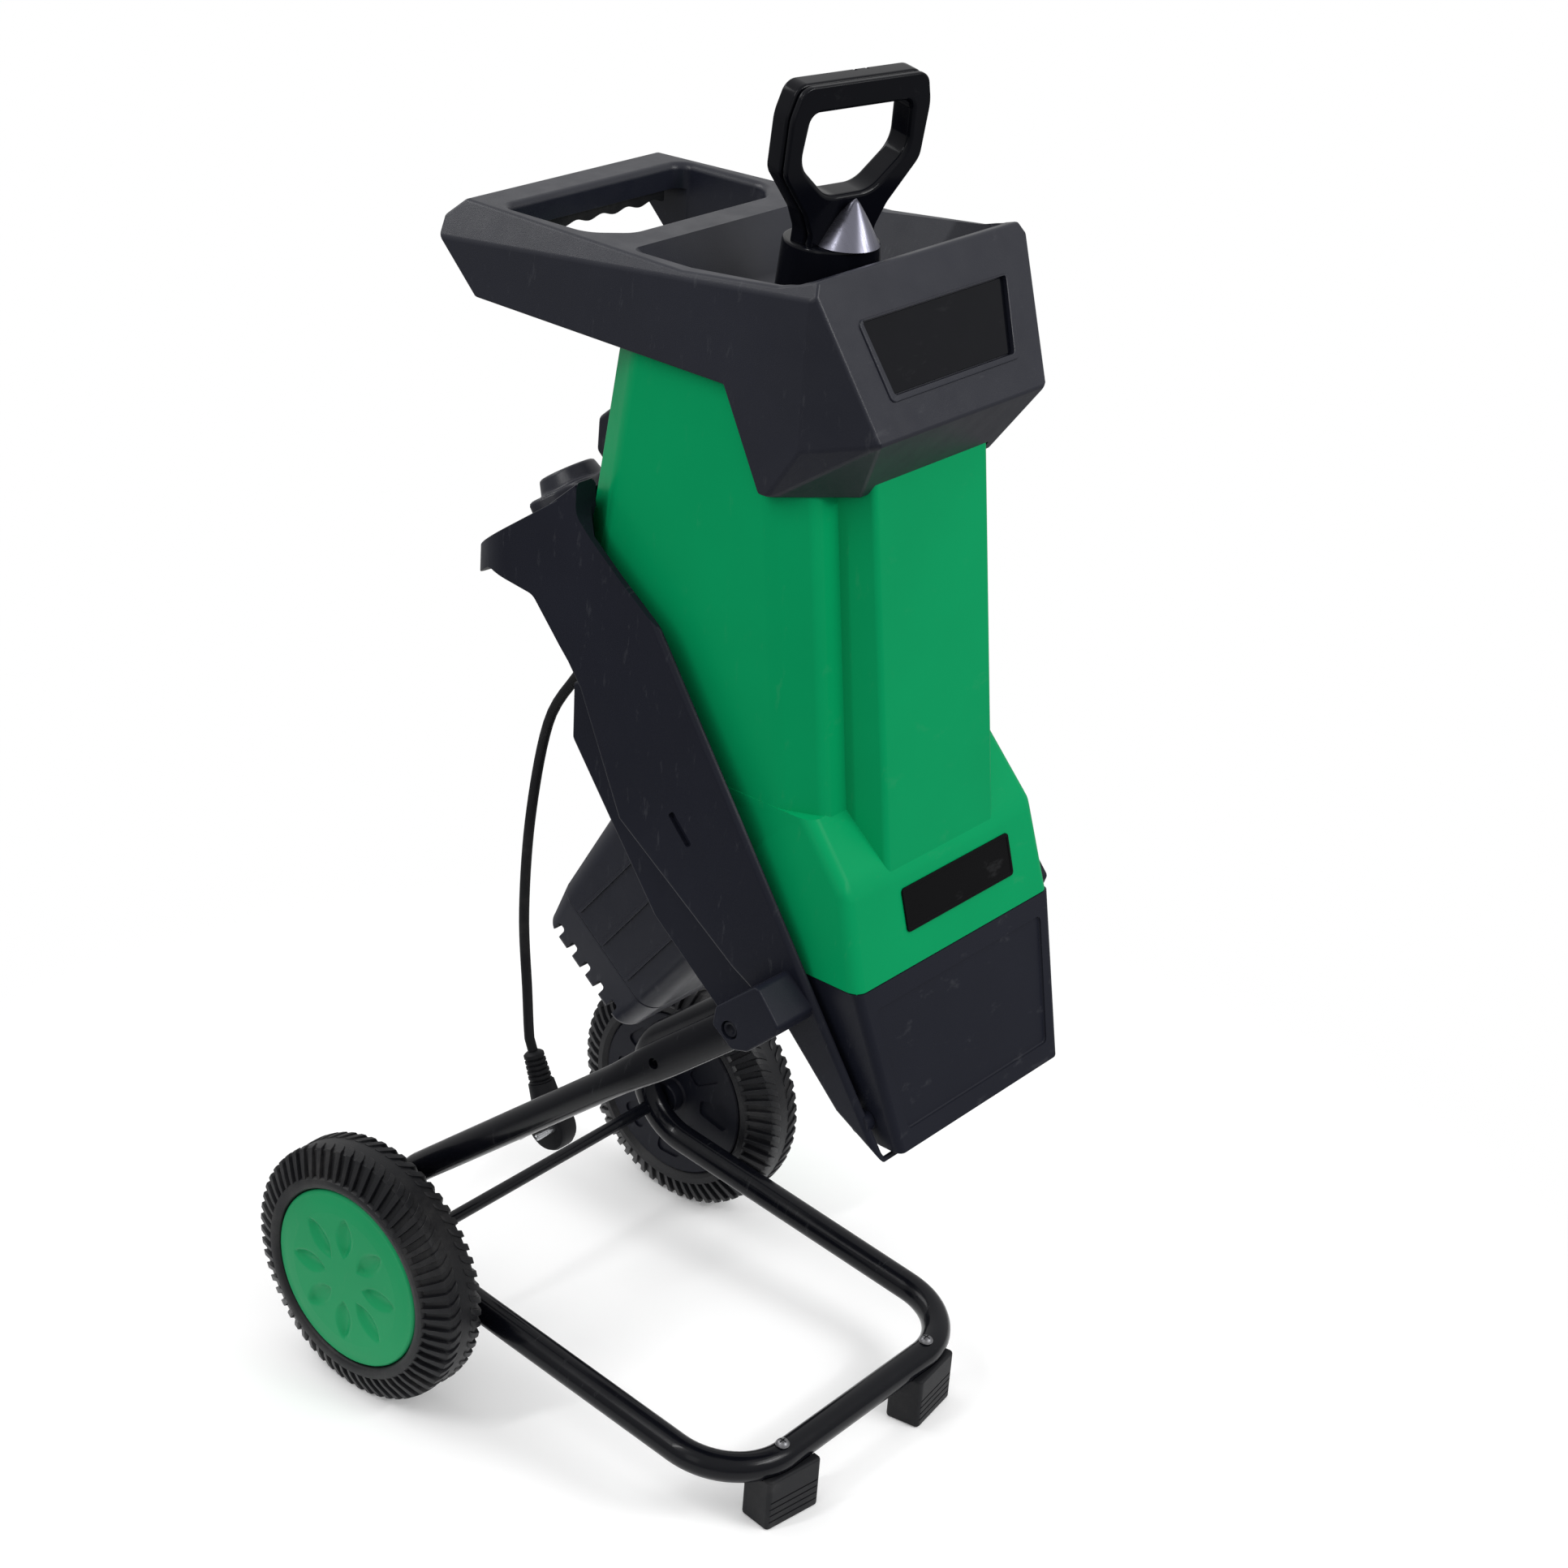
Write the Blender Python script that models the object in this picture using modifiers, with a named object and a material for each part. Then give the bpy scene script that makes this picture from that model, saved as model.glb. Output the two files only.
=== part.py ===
"""Electric wood chipper: a hopper on a slanted motor base, carried by a wheeled tube stand.

Metres, +Z up. The front, where the chips come out, faces -Y. The wheels are at the back (+Y).
The origin lies on the floor under the middle of the machine.
"""
import math

import bmesh
import bpy
from mathutils import Matrix, Vector

# General clearances and segment counts
GAP = 0.0003
RUN = 0.0005
THROUGH = 0.010
FINE = 32
MEDIUM = 24
COARSE = 12

# Wheels and axle
WHEEL_RADIUS = 0.100
WHEEL_WIDTH = 0.050
WHEEL_CENTRE_X = 0.180
AXLE_Y = 0.152
AXLE_RADIUS = 0.005
TYRE_DEPTH = 0.030
RIM_WALL = 0.003
CAP_WALL = 0.0025
HUB_RADIUS = 0.014

# Stand: one bent tube
TUBE_RADIUS = 0.011
ARM_X = 0.135
ARM_END = (-0.1547, 0.4243)
HEEL = (0.232, 0.095)
HEEL_BEND = 0.050
TOE = (-0.165, 0.047)
TOE_BEND = 0.055
ARM_THICKNESS = 0.010
ARM_HEIGHT = 0.027
LEG_BOLT = (-0.1425, 0.4150)
LEG_BOLT_RADIUS = 0.004
BOLT_HEAD_RADIUS = 0.0060
BOLT_SEAT_X = 0.1448
SPARE_HOLE = (-0.073, 0.355)

# Feet
FOOT_X = 0.0818
FOOT_WIDTH = 0.050
FOOT_DEPTH = 0.028
FOOT_HEIGHT = 0.042
FOOT_TURN = math.radians(8.2)
FOOT_SCREW_X = 0.0844
FOOT_SCREW_RADIUS = 0.0025

# Base: slanted housing
BASE_HALF_WIDTH = 0.120
BASE_WALL = 0.0045
FLANGE_TIP = (-0.2358, 0.3328)
FLANGE_BEND = (-0.1639, 0.4716)
FLANGE_HEAD = (0.018, 0.733)
SHELF_TILT = math.radians(35.86)
SHELF_POINT = (0.1355, 0.6526)
VISOR_REACH = 0.0775
VISOR_START = 0.095
TIP_HALF_WIDTH = BASE_HALF_WIDTH - 0.020
LOWER_HALF_WIDTH = 0.0935
SOCKET_FACE_X = 0.150
HINGE = (-0.2170, 0.3560)
HINGE_RADIUS = 0.003
HINGE_BOSS_RADIUS = 0.0075

# Cutting disc and motor, along an axis that leans 38 degrees
DISC_TILT = math.radians(38)
DISC_POINT = (-0.016, 0.440)
DISC_RADIUS = 0.0845
DISC_THICKNESS = 0.006
DISC_LEVEL = 0.026
CHAMBER_RADIUS = 0.0885
CHAMBER_FLOOR = 0.018
FLOOR_PLATE = 0.005
BLADE_LENGTH = 0.056
BLADE_WIDTH = 0.024
BLADE_THICKNESS = 0.004
BLADE_INNER = 0.018
BLADE_SCREW_RADIUS = 0.003
SHAFT_RADIUS = 0.0085
NOSE_RADIUS = 0.0075
BEARING_UPPER_RADIUS = 0.020
BEARING_UPPER_WIDTH = 0.012
BEARING_LOWER_RADIUS = 0.016
BEARING_LOWER_WIDTH = 0.010
MOTOR_HALF_WIDTH = 0.075
MOTOR_LOW = -0.0580
MOTOR_HIGH = 0.0650
MOTOR_LENGTH = 0.083
MOTOR_TAPER = 1.215
MOTOR_CORNER = 0.018
END_CAP_LENGTH = 0.0365
STATOR_RADIUS = 0.041
STATOR_LENGTH = 0.042
STATOR_LEVEL = -0.063
ARMATURE_RADIUS = 0.0255
FAN_RADIUS = 0.038

# Hopper
HOPPER_HALF_WIDTH = BASE_HALF_WIDTH - 0.020
HANDLE_HALF_WIDTH = HOPPER_HALF_WIDTH + 0.0085
MOUTH_HALF_WIDTH = HANDLE_HALF_WIDTH - 0.011
HANDLE_OPENING = HANDLE_HALF_WIDTH - 0.022
HOPPER_TOP = 0.838
HOPPER_WALL = 0.003
SKIRT_BOTTOM = 0.4502
FUNNEL_FLOOR = 0.8447
CHUTE_RADIUS = 0.0325
CHUTE_WALL = 0.003
CHUTE_LEVEL = 0.0415
PLUNGER_Y = -0.0613
BAR_BOTTOM = 0.8640
BOX_BOTTOM = 0.3384
LABEL_X = 0.0095
LABEL_DOWN = 0.0295

# Plunger
PLUNGER_RADIUS = 0.031
PLUNGER_HEAD_RADIUS = 0.0348
PLUNGER_TOP_RADIUS = 0.0310
PLUNGER_HEAD_TOP = 0.892
PLUNGER_BOTTOM = 0.490
GRIP_TURN = math.radians(-10)
GRIP_LEAN = math.radians(7)
GRIP_HEIGHT = 0.1060
GRIP_THICKNESS = 0.020
GRIP_HALF_WIDTH = 0.0565
CONE_RADIUS = 0.0210
CONE_HEIGHT = 0.0325
CONE_OFFSET = 0.0160

# Lock knob
KNOB_RADIUS = 0.032
KNOB_LOBE = 0.004
KNOB_LOBES = 5
KNOB_SKIRT = 0.0165
KNOB_HEIGHT = 0.0285
KNOB_LIFT = 0.0038
STUD_RADIUS = 0.005

# Switch box and buttons
SWITCH_FRONT = 0.0558
SWITCH_BACK = 0.118
SWITCH_LEFT = -0.035
SWITCH_RIGHT = 0.045
SWITCH_TOP = 0.616
SWITCH_WALL = 0.003
BUTTON_RADIUS = 0.009
RESET_RADIUS = 0.005
BUTTON_Z = 0.600
BUTTON_TRAVEL = 0.004

# Lead
CORD_RADIUS = 0.0038
CORD_X = -0.030
GLAND_POINT = (0.0975, 0.5658)
GLAND_LENGTH = 0.014
GLAND_TILT = math.radians(-156.5)
CORD_ROUTE = ((0.1320, 0.500), (0.1460, 0.420), (0.1490, 0.340), (0.1430, 0.276))
CORD_END = (0.1350, 0.2270)
PLUG_TILT = math.radians(157)
RELIEF_LENGTH = 0.024
PLUG_REACH = 0.034
PLUG_RADIUS = 0.019
PLUG_THICKNESS = 0.018

# Colours, roughness and metallic value
FINISHES = {
    "green plastic": ((0.012, 0.30, 0.115), 0.38, 0.0),
    "black plastic": ((0.022, 0.023, 0.032), 0.45, 0.0),
    "gloss black": ((0.006, 0.006, 0.008), 0.18, 0.0),
    "rubber": ((0.012, 0.012, 0.014), 0.75, 0.0),
    "steel": ((0.55, 0.56, 0.58), 0.30, 1.0),
    "dark steel": ((0.20, 0.20, 0.21), 0.42, 1.0),
    "satin grey": ((0.16, 0.16, 0.18), 0.35, 0.6),
    "copper": ((0.72, 0.36, 0.18), 0.35, 1.0),
    "carbon": ((0.03, 0.03, 0.03), 0.80, 0.0),
    "red plastic": ((0.55, 0.02, 0.015), 0.35, 0.0),
    "fan plastic": ((0.35, 0.34, 0.30), 0.55, 0.0),
}


def clear_scene():
    for thing in list(bpy.data.objects):
        bpy.data.objects.remove(thing, do_unlink=True)


def collection(name):
    group = bpy.data.collections.new(name)
    bpy.context.scene.collection.children.link(group)
    return group


clear_scene()
PARTS = collection("electric_wood_chipper")
CUTTERS = collection("cutters")


def make_materials():
    made = {}
    for name, (colour, roughness, metallic) in FINISHES.items():
        material = bpy.data.materials.new(name)
        material.use_nodes = True
        shader = material.node_tree.nodes["Principled BSDF"]
        shader.inputs["Base Color"].default_value = (*colour, 1.0)
        shader.inputs["Roughness"].default_value = roughness
        shader.inputs["Metallic"].default_value = metallic
        material.diffuse_color = (*colour, 1.0)
        made[name] = material
    return made


MATERIALS = make_materials()


# Frames: where the tilted groups stand in the machine

def frame_at(y, z, tilt=0.0, x=0.0):
    return Matrix.Translation((x, y, z)) @ Matrix.Rotation(tilt, 4, "X")


WORLD = Matrix.Identity(4)
UNIT = frame_at(*DISC_POINT, DISC_TILT)
SHELF = frame_at(*SHELF_POINT, -SHELF_TILT)
SIDEWAYS = Matrix(((0, 0, 1, 0), (1, 0, 0, 0), (0, 1, 0, 0), (0, 0, 0, 1)))
UPRIGHT = Matrix(((1, 0, 0, 0), (0, 0, -1, 0), (0, 1, 0, 0), (0, 0, 0, 1)))


# Shapes

def finish_object(name, mesh, place, finish=None):
    thing = bpy.data.objects.new(name, mesh)
    thing.matrix_world = place
    (PARTS if finish else CUTTERS).objects.link(thing)
    if finish:
        mesh.materials.clear()
        mesh.materials.append(MATERIALS[finish])
        mesh.shade_smooth()
        mesh.set_sharp_from_angle(angle=math.radians(35))
    else:
        thing.hide_render = True
        thing.display_type = "WIRE"
    return thing


def mesh_from(name, bm):
    mesh = bpy.data.meshes.new(name)
    bmesh.ops.recalc_face_normals(bm, faces=bm.faces)
    bm.to_mesh(mesh)
    bm.free()
    return mesh


def evaluated_mesh(source, name):
    """The mesh of a curve or of an object with modifiers, welded, and the source removed."""
    if not source.users_collection:
        CUTTERS.objects.link(source)
    bpy.context.view_layer.update()
    graph = bpy.context.evaluated_depsgraph_get()
    mesh = bpy.data.meshes.new_from_object(source.evaluated_get(graph))
    bpy.data.objects.remove(source, do_unlink=True)
    bm = bmesh.new()
    bm.from_mesh(mesh)
    bmesh.ops.remove_doubles(bm, verts=bm.verts, dist=0.00001)
    bpy.data.meshes.remove(mesh)
    return mesh_from(name, bm)


def box(name, low, high, finish=None, place=WORLD):
    bm = bmesh.new()
    bmesh.ops.create_cube(bm, size=1.0)
    low, high = Vector(low), Vector(high)
    for vert in bm.verts:
        vert.co = (low + high) / 2 + Vector(c * s for c, s in zip(vert.co, high - low))
    return finish_object(name, mesh_from(name, bm), place, finish)


def cylinder(name, radius, low, high, finish=None, place=WORLD, segments=MEDIUM, top=None):
    """A cylinder or cone along the place's Z, from low to high."""
    bm = bmesh.new()
    bmesh.ops.create_cone(bm, cap_ends=True, segments=segments, radius1=radius,
                          radius2=radius if top is None else top, depth=high - low)
    bmesh.ops.translate(bm, verts=bm.verts, vec=(0, 0, (low + high) / 2))
    return finish_object(name, mesh_from(name, bm), place, finish)


def flat(name, loops, low, high, finish=None, place=WORLD):
    """A flat outline, with holes if there is more than one loop, between two heights."""
    curve = bpy.data.curves.new(name, "CURVE")
    curve.dimensions = "2D"
    curve.fill_mode = "BOTH"
    curve.extrude = (high - low) / 2
    for loop in loops:
        spline = curve.splines.new("POLY")
        spline.points.add(len(loop) - 1)
        for point, (a, b) in zip(spline.points, loop):
            point.co = (a, b, 0, 1)
        spline.use_cyclic_u = True
    mesh = evaluated_mesh(bpy.data.objects.new(name, curve), name)
    mesh.transform(Matrix.Translation((0, 0, (low + high) / 2)))
    return finish_object(name, mesh, place, finish)


def side_prism(name, outline, low_x, high_x, finish=None):
    """An outline drawn in the side view (y, z), between two distances across the machine."""
    return settled(flat(name, [outline], low_x, high_x, finish, SIDEWAYS))


def turned(name, profile, finish=None, place=WORLD, segments=FINE, ring=False):
    """A profile of (radius, height) turned about the place's Z. A ring's profile is a closed loop."""
    mesh = bpy.data.meshes.new(name)
    count = len(profile)
    edges = [(i, i + 1) for i in range(count - 1)] + ([(count - 1, 0)] if ring else [])
    mesh.from_pydata([(r, 0, z) for r, z in profile], edges, [])
    source = bpy.data.objects.new(name, mesh)
    screw = source.modifiers.new("turn", "SCREW")
    screw.steps = segments
    screw.render_steps = segments
    screw.use_merge_vertices = True
    screw.merge_threshold = 0.00001
    return finish_object(name, evaluated_mesh(source, name), place, finish)


def tube_mesh(name, points, radius, resolution):
    curve = bpy.data.curves.new(name, "CURVE")
    curve.dimensions = "3D"
    curve.bevel_depth = radius
    curve.bevel_resolution = resolution
    curve.use_fill_caps = True
    spline = curve.splines.new("POLY")
    spline.points.add(len(points) - 1)
    for point, co in zip(spline.points, points):
        point.co = (*co, 1)
    return evaluated_mesh(bpy.data.objects.new(name, curve), name)


def trim(thing, planes):
    """Cuts away what lies beyond each plane, given as a point and an outward normal."""
    bm = bmesh.new()
    bm.from_mesh(thing.data)
    for point, normal in planes:
        everything = bm.verts[:] + bm.edges[:] + bm.faces[:]
        bmesh.ops.bisect_plane(bm, geom=everything, dist=0.000001, plane_co=point,
                               plane_no=normal, clear_outer=True)
        rim = [edge for edge in bm.edges if edge.is_boundary]
        bmesh.ops.holes_fill(bm, edges=rim)
    bmesh.ops.recalc_face_normals(bm, faces=bm.faces)
    bm.to_mesh(thing.data)
    bm.free()
    return thing


def plane(a, b, c, inside):
    a, b, c = Vector(a), Vector(b), Vector(c)
    normal = (b - a).cross(c - a).normalized()
    if normal.dot(Vector(inside) - a) > 0:
        normal.negate()
    return a, normal


def both_sides(a, b, c, inside):
    """A plane and its mirror image across the machine's middle."""
    flipped = [(-x, y, z) for x, y, z in (a, b, c)]
    return [plane(a, b, c, inside), plane(*flipped, inside)]


def across(a, b, inside):
    """A plane through two side-view points, square to the side view."""
    return plane((0, *a), (0, *b), (1, *b), inside)


def block(name, planes, inset=0.0, finish=None):
    """A convex block bounded by planes, each moved inwards by the inset."""
    whole = box(name, (-1, -1, -1), (1, 1, 2), finish)
    return trim(whole, [(point - normal * inset, normal) for point, normal in planes])


def settled(thing):
    """Moves a thing's place into its mesh, so that it can be trimmed by planes of the machine."""
    thing.data.transform(thing.matrix_world)
    thing.matrix_world = WORLD
    return thing


def boolean(thing, other, operation):
    modifier = thing.modifiers.new(other.name, "BOOLEAN")
    modifier.operation = operation
    modifier.solver = "EXACT"
    modifier.object = other


def cut(thing, *others):
    for other in others:
        boolean(thing, other, "DIFFERENCE")


def join(thing, *others):
    for other in others:
        boolean(thing, other, "UNION")


# Outlines

def rounded(corners, steps=4):
    """A closed outline whose corners (a, b, radius) are arcs. A radius of 0 leaves a corner sharp."""
    points = []
    for i, corner in enumerate(corners):
        here = Vector(corner[:2])
        radius = corner[2] if len(corner) > 2 else 0.0
        if radius == 0.0:
            points.append(tuple(here))
            continue
        before = (Vector(corners[i - 1][:2]) - here).normalized()
        after = (Vector(corners[(i + 1) % len(corners)][:2]) - here).normalized()
        half = before.angle(after) / 2
        reach = radius / math.tan(half)
        centre = here + (before + after).normalized() * radius / math.sin(half)
        start = here + before * reach - centre
        end = here + after * reach - centre
        sweep = start.angle_signed(end)
        for k in range(steps + 1):
            turn = Matrix.Rotation(-sweep * k / steps, 2)
            points.append(tuple(centre + turn @ start))
    return points


def bent_path(corners, steps=7):
    """Points along straight runs joined by arcs: each corner is (point, bend radius)."""
    points = [Vector(corners[0][0])]
    for i in range(1, len(corners) - 1):
        here, radius = Vector(corners[i][0]), corners[i][1]
        before = (Vector(corners[i - 1][0]) - here).normalized()
        after = (Vector(corners[i + 1][0]) - here).normalized()
        half = before.angle(after) / 2
        reach = radius / math.tan(half)
        centre = here + (before + after).normalized() * radius / math.sin(half)
        start = here + before * reach - centre
        end = here + after * reach - centre
        for k in range(steps + 1):
            turn = Matrix.Rotation(start.angle(end) * k / steps, 3, start.cross(end))
            points.append(centre + turn @ start)
    points.append(Vector(corners[-1][0]))
    return points


def smooth_path(route, spacing):
    """Evenly spaced points along a smooth curve through the route, whose two end runs are straight."""
    route = [Vector(p) for p in route]
    dense = []
    for p0, p1, p2, p3 in zip(route, route[1:], route[2:], route[3:]):
        for k in range(20):
            t = k / 20
            dense.append(0.5 * (2 * p1 + (p2 - p0) * t + (2 * p0 - 5 * p1 + 4 * p2 - p3) * t * t
                                + (3 * p1 - p0 - 3 * p2 + p3) * t ** 3))
    dense.append(route[-2])
    total = sum((b - a).length for a, b in zip(dense, dense[1:]))
    count = max(2, round(total / spacing))
    points, walked, target = [route[0], dense[0]], 0.0, total / count
    for a, b in zip(dense, dense[1:]):
        step = (b - a).length
        while walked + step >= target and len(points) < count + 1:
            points.append(a.lerp(b, (target - walked) / step))
            target += total / count
        walked += step
    return points + [dense[-1], route[-1]]


def circle(radius, count, a=0.0, b=0.0):
    angles = [2 * math.pi * k / count for k in range(count)]
    return [(a + radius * math.cos(t), b + radius * math.sin(t)) for t in angles]


def rectangle(half_a, low_b, high_b, radius):
    corners = ((-half_a, low_b), (half_a, low_b), (half_a, high_b), (-half_a, high_b))
    return rounded([(a, b, radius) for a, b in corners])


# Parenting

def axis_empty(name, place, parent=None):
    empty = bpy.data.objects.new(name, None)
    PARTS.objects.link(empty)
    if parent:
        empty.parent = parent
        bpy.context.view_layer.update()
        empty.matrix_parent_inverse = parent.matrix_world.inverted()
    empty.matrix_world = place
    bpy.context.view_layer.update()
    return empty


def hang(empty, *things):
    """Gives things a parent without moving them."""
    for thing in things:
        thing.parent = empty
        thing.matrix_parent_inverse = empty.matrix_world.inverted()


# Stand

def arm_direction():
    return (Vector(ARM_END) - Vector(HEEL)).normalized()


def stand_path():
    near = [
        ((-ARM_X, *ARM_END), 0.0),
        ((-ARM_X, *HEEL), HEEL_BEND),
        ((-ARM_X, *TOE), TOE_BEND),
    ]
    far = [((-x, y, z), bend) for (x, y, z), bend in reversed(near)]
    return bent_path(near + far)


def flatten_arms(mesh):
    """Presses the upper ends of the two arms flat, as they are where they are bolted on."""
    along = arm_direction()
    end = Vector(ARM_END)
    for vert in mesh.vertices:
        offset = Vector((vert.co.y, vert.co.z)) - end
        back = -offset.dot(along)
        if back > 0.16 or vert.co.z < HEEL[1] + 0.08:
            continue
        press = min(1.0, max(0.0, (0.16 - back) / 0.06))
        press = press * press * (3 - 2 * press)
        side = math.copysign(ARM_X, vert.co.x)
        thin = 1 + (ARM_THICKNESS / (2 * TUBE_RADIUS) - 1) * press
        tall = 1 + (ARM_HEIGHT / (2 * TUBE_RADIUS) - 1) * press
        sideways = offset + along * back
        vert.co.x = side + (vert.co.x - side) * thin
        moved = end - along * back + sideways * tall
        vert.co.y, vert.co.z = moved


def add_arm_points(points):
    """Extra points along the two straight arms, where the tube is pressed flat."""
    extra = []
    for k in range(1, 7):
        extra.append(points[0].lerp(points[1], k * 0.035 / (points[1] - points[0]).length))
    mirrored = [Vector((-p.x, p.y, p.z)) for p in reversed(extra)]
    return [points[0]] + extra + points[1:-1] + mirrored + [points[-1]]


def make_stand():
    points = add_arm_points(stand_path())
    mesh = tube_mesh("stand_tube", points, TUBE_RADIUS, 4)
    flatten_arms(mesh)
    stand = finish_object("stand_tube", mesh, WORLD, "gloss black")
    cut(stand, cylinder("axle hole", AXLE_RADIUS + GAP, -0.16, 0.16, place=across_at(AXLE_Y, WHEEL_RADIUS)))
    cut(stand, cylinder("leg bolt hole", LEG_BOLT_RADIUS + GAP, -0.16, 0.16, place=across_at(*LEG_BOLT),
                        segments=COARSE))
    cut(stand, cylinder("spare hole", LEG_BOLT_RADIUS, -0.16, 0.16, place=across_at(*SPARE_HOLE),
                        segments=COARSE))
    for side in (-1, 1):
        place = Matrix.Translation((side * FOOT_SCREW_X, TOE[0], TOE[1]))
        cut(stand, cylinder("foot screw hole", FOOT_SCREW_RADIUS + GAP, -0.02, 0.02, place=place,
                            segments=COARSE))
    return points


def across_at(y, z, x=0.0):
    """A frame whose Z runs across the machine, along +X."""
    return Matrix.Translation((x, y, z)) @ SIDEWAYS


def make_feet(points):
    height = FOOT_HEIGHT
    for side, word in ((-1, "left"), (1, "right")):
        turn = Matrix.Rotation(side * FOOT_TURN, 4, "Z")
        place = Matrix.Translation((side * FOOT_X, TOE[0], 0)) @ turn
        foot = flat("foot_" + word, [rectangle(FOOT_WIDTH / 2, -FOOT_DEPTH / 2, FOOT_DEPTH / 2, 0.003)],
                    0.0, height, "rubber", place)
        groove = finish_object("tube groove " + word,
                               tube_mesh("groove", points, TUBE_RADIUS + GAP, 4), WORLD)
        cut(foot, groove)
        screw_place = Matrix.Translation((side * FOOT_SCREW_X, TOE[0], 0))
        top = TOE[1] + TUBE_RADIUS + GAP
        low = 0.012
        screw = turned("foot_screw_" + word, [
            (0, top + 0.0035), (0.003, top + 0.0032), (0.0052, top + 0.0012), (0.0052, top),
            (FOOT_SCREW_RADIUS, top), (FOOT_SCREW_RADIUS, low), (0, low - 0.002),
        ], "dark steel", screw_place, COARSE)
        cut(foot, cylinder("foot bore", FOOT_SCREW_RADIUS + GAP, low - 0.003, height + THROUGH,
                           place=screw_place, segments=COARSE))
        screw.location = screw_place.translation


def make_axle():
    hub_end = WHEEL_WIDTH / 2 - 0.0070
    reach = WHEEL_CENTRE_X + hub_end + RUN
    head = reach + 0.002
    turned("axle", [
        (0, head), (0.008, head), (0.008, reach), (AXLE_RADIUS, reach),
        (AXLE_RADIUS, -reach), (0.008, -reach), (0.008, -head), (0, -head),
    ], "dark steel", across_at(AXLE_Y, WHEEL_RADIUS), 24)
    return hub_end


def make_wheel(side, word, hub_end):
    turn = Matrix.Rotation(side * math.pi / 2, 4, "Y")
    place = Matrix.Translation((side * WHEEL_CENTRE_X, AXLE_Y, WHEEL_RADIUS)) @ turn
    empty = axis_empty("wheel_axis_" + word, place)
    half = WHEEL_WIDTH / 2
    bead = WHEEL_RADIUS - TYRE_DEPTH
    tyre = turned("tyre_" + word, [
        (WHEEL_RADIUS, half - 0.0125), (WHEEL_RADIUS, -half + 0.0125),
        (WHEEL_RADIUS - 0.0025, -half + 0.010),
        (WHEEL_RADIUS - 0.020, -half + 0.004), (bead + 0.004, -half), (bead, -half + 0.004),
        (bead, half - 0.0045), (bead + 0.003, half - 0.001), (WHEEL_RADIUS - 0.020, half - 0.004),
        (WHEEL_RADIUS - 0.0025, half - 0.010),
    ], "rubber", place, FINE, ring=True)
    ring = bead - GAP
    inner = ring - RIM_WALL
    web_low = -half + 0.002
    web_high = web_low + RIM_WALL
    bore = AXLE_RADIUS + RUN
    hub_low = -(WHEEL_CENTRE_X - ARM_X - TUBE_RADIUS - RUN)
    seat = half - 0.0045
    rim = turned("rim_" + word, [
        (ring, seat), (ring, web_low), (HUB_RADIUS, web_low), (HUB_RADIUS, hub_low), (bore, hub_low),
        (bore, hub_end), (HUB_RADIUS, hub_end), (HUB_RADIUS, web_high), (inner, web_high), (inner, seat),
    ], "black plastic", place, FINE, ring=True)
    face = half + 0.0004
    spigot = inner - GAP
    cap = turned("hubcap_" + word, [
        (0, face), (ring - 0.010, face), (ring - 0.002, face - 0.0012), (ring, face - 0.0030),
        (ring, seat + GAP), (spigot, seat + GAP), (spigot, seat - 0.008),
        (spigot - CAP_WALL, seat - 0.008), (spigot - CAP_WALL, face - CAP_WALL - 0.001),
        (0, face - CAP_WALL),
    ], "green plastic", place, FINE)
    hang(empty, tyre, rim, cap)


# Base

def tray_outline():
    return rounded([
        (*FLANGE_TIP, 0.002), FLANGE_BEND, (*FLANGE_HEAD, 0.004), (0.030, 0.7291, 0.004), (0.060, 0.7065),
        (0.060, 0.630), (0.053, 0.617), (0.026, 0.589, 0.010), (-0.013, 0.508, 0.010),
        (-0.160, 0.4085, 0.010), (-0.199, 0.359),
    ])


def pocket_outline():
    wall = BASE_WALL
    return [
        (0.057, 0.800), (0.057, 0.650), (0.046, 0.6175), (0.026 - 0.7 * wall, 0.589 + wall),
        (-0.013 - 0.8 * wall, 0.508 + wall), (-0.160 + 0.3 * wall, 0.4085 + 1.2 * wall),
        (-0.199 + 0.3 * wall, 0.359 + wall), (-0.218, 0.335), (-0.300, 0.335), (-0.300, 0.800),
    ]


def tip_planes(inset=0.0):
    """The tray's two sides, which come closer together towards its front end."""
    wide = BASE_HALF_WIDTH - inset
    narrow = TIP_HALF_WIDTH - inset
    across_bend = (wide, FLANGE_BEND[0] + 0.082, FLANGE_BEND[1] - 0.057)
    return both_sides((wide, *FLANGE_BEND), (narrow, *FLANGE_TIP), across_bend, (0, -0.1, 0.6))


def visor_outline():
    return rounded([
        (0.040, 0.7216), (0.1720, 0.6262, 0.005), (0.1645, 0.6135, 0.005), (0.113, 0.6475, 0.010),
        (0.072, 0.640, 0.006), (0.053, 0.617), (0.030, 0.600),
    ])


def visor_plan():
    width = BASE_HALF_WIDTH
    arc = []
    for k in range(17):
        angle = math.pi * k / 16
        arc.append((width * math.cos(angle), VISOR_START + VISOR_REACH * math.sin(angle)))
    return arc + [(-width, 0.0), (width, 0.0)]


def lower_outline():
    high = MOTOR_HIGH
    return rounded([
        (-0.120, 0.080), (-0.118, 0.035, 0.012), (-0.090, 0.0, 0.006), (high, 0.0),
        (high + 0.0010, 0.018), (0.112, 0.031, 0.006), (0.139, 0.064, 0.006), (0.125, 0.090),
    ])


def socket_outline():
    return rounded([
        (-0.1278, 0.4130, 0.004), (-0.1298, 0.4270, 0.003), (-0.1617, 0.4555, 0.004),
        (-0.1815, 0.4329, 0.004), (-0.1794, 0.4258, 0.003), (-0.158, 0.4050, 0.004),
        (-0.1452, 0.4012, 0.004),
    ])


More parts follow.
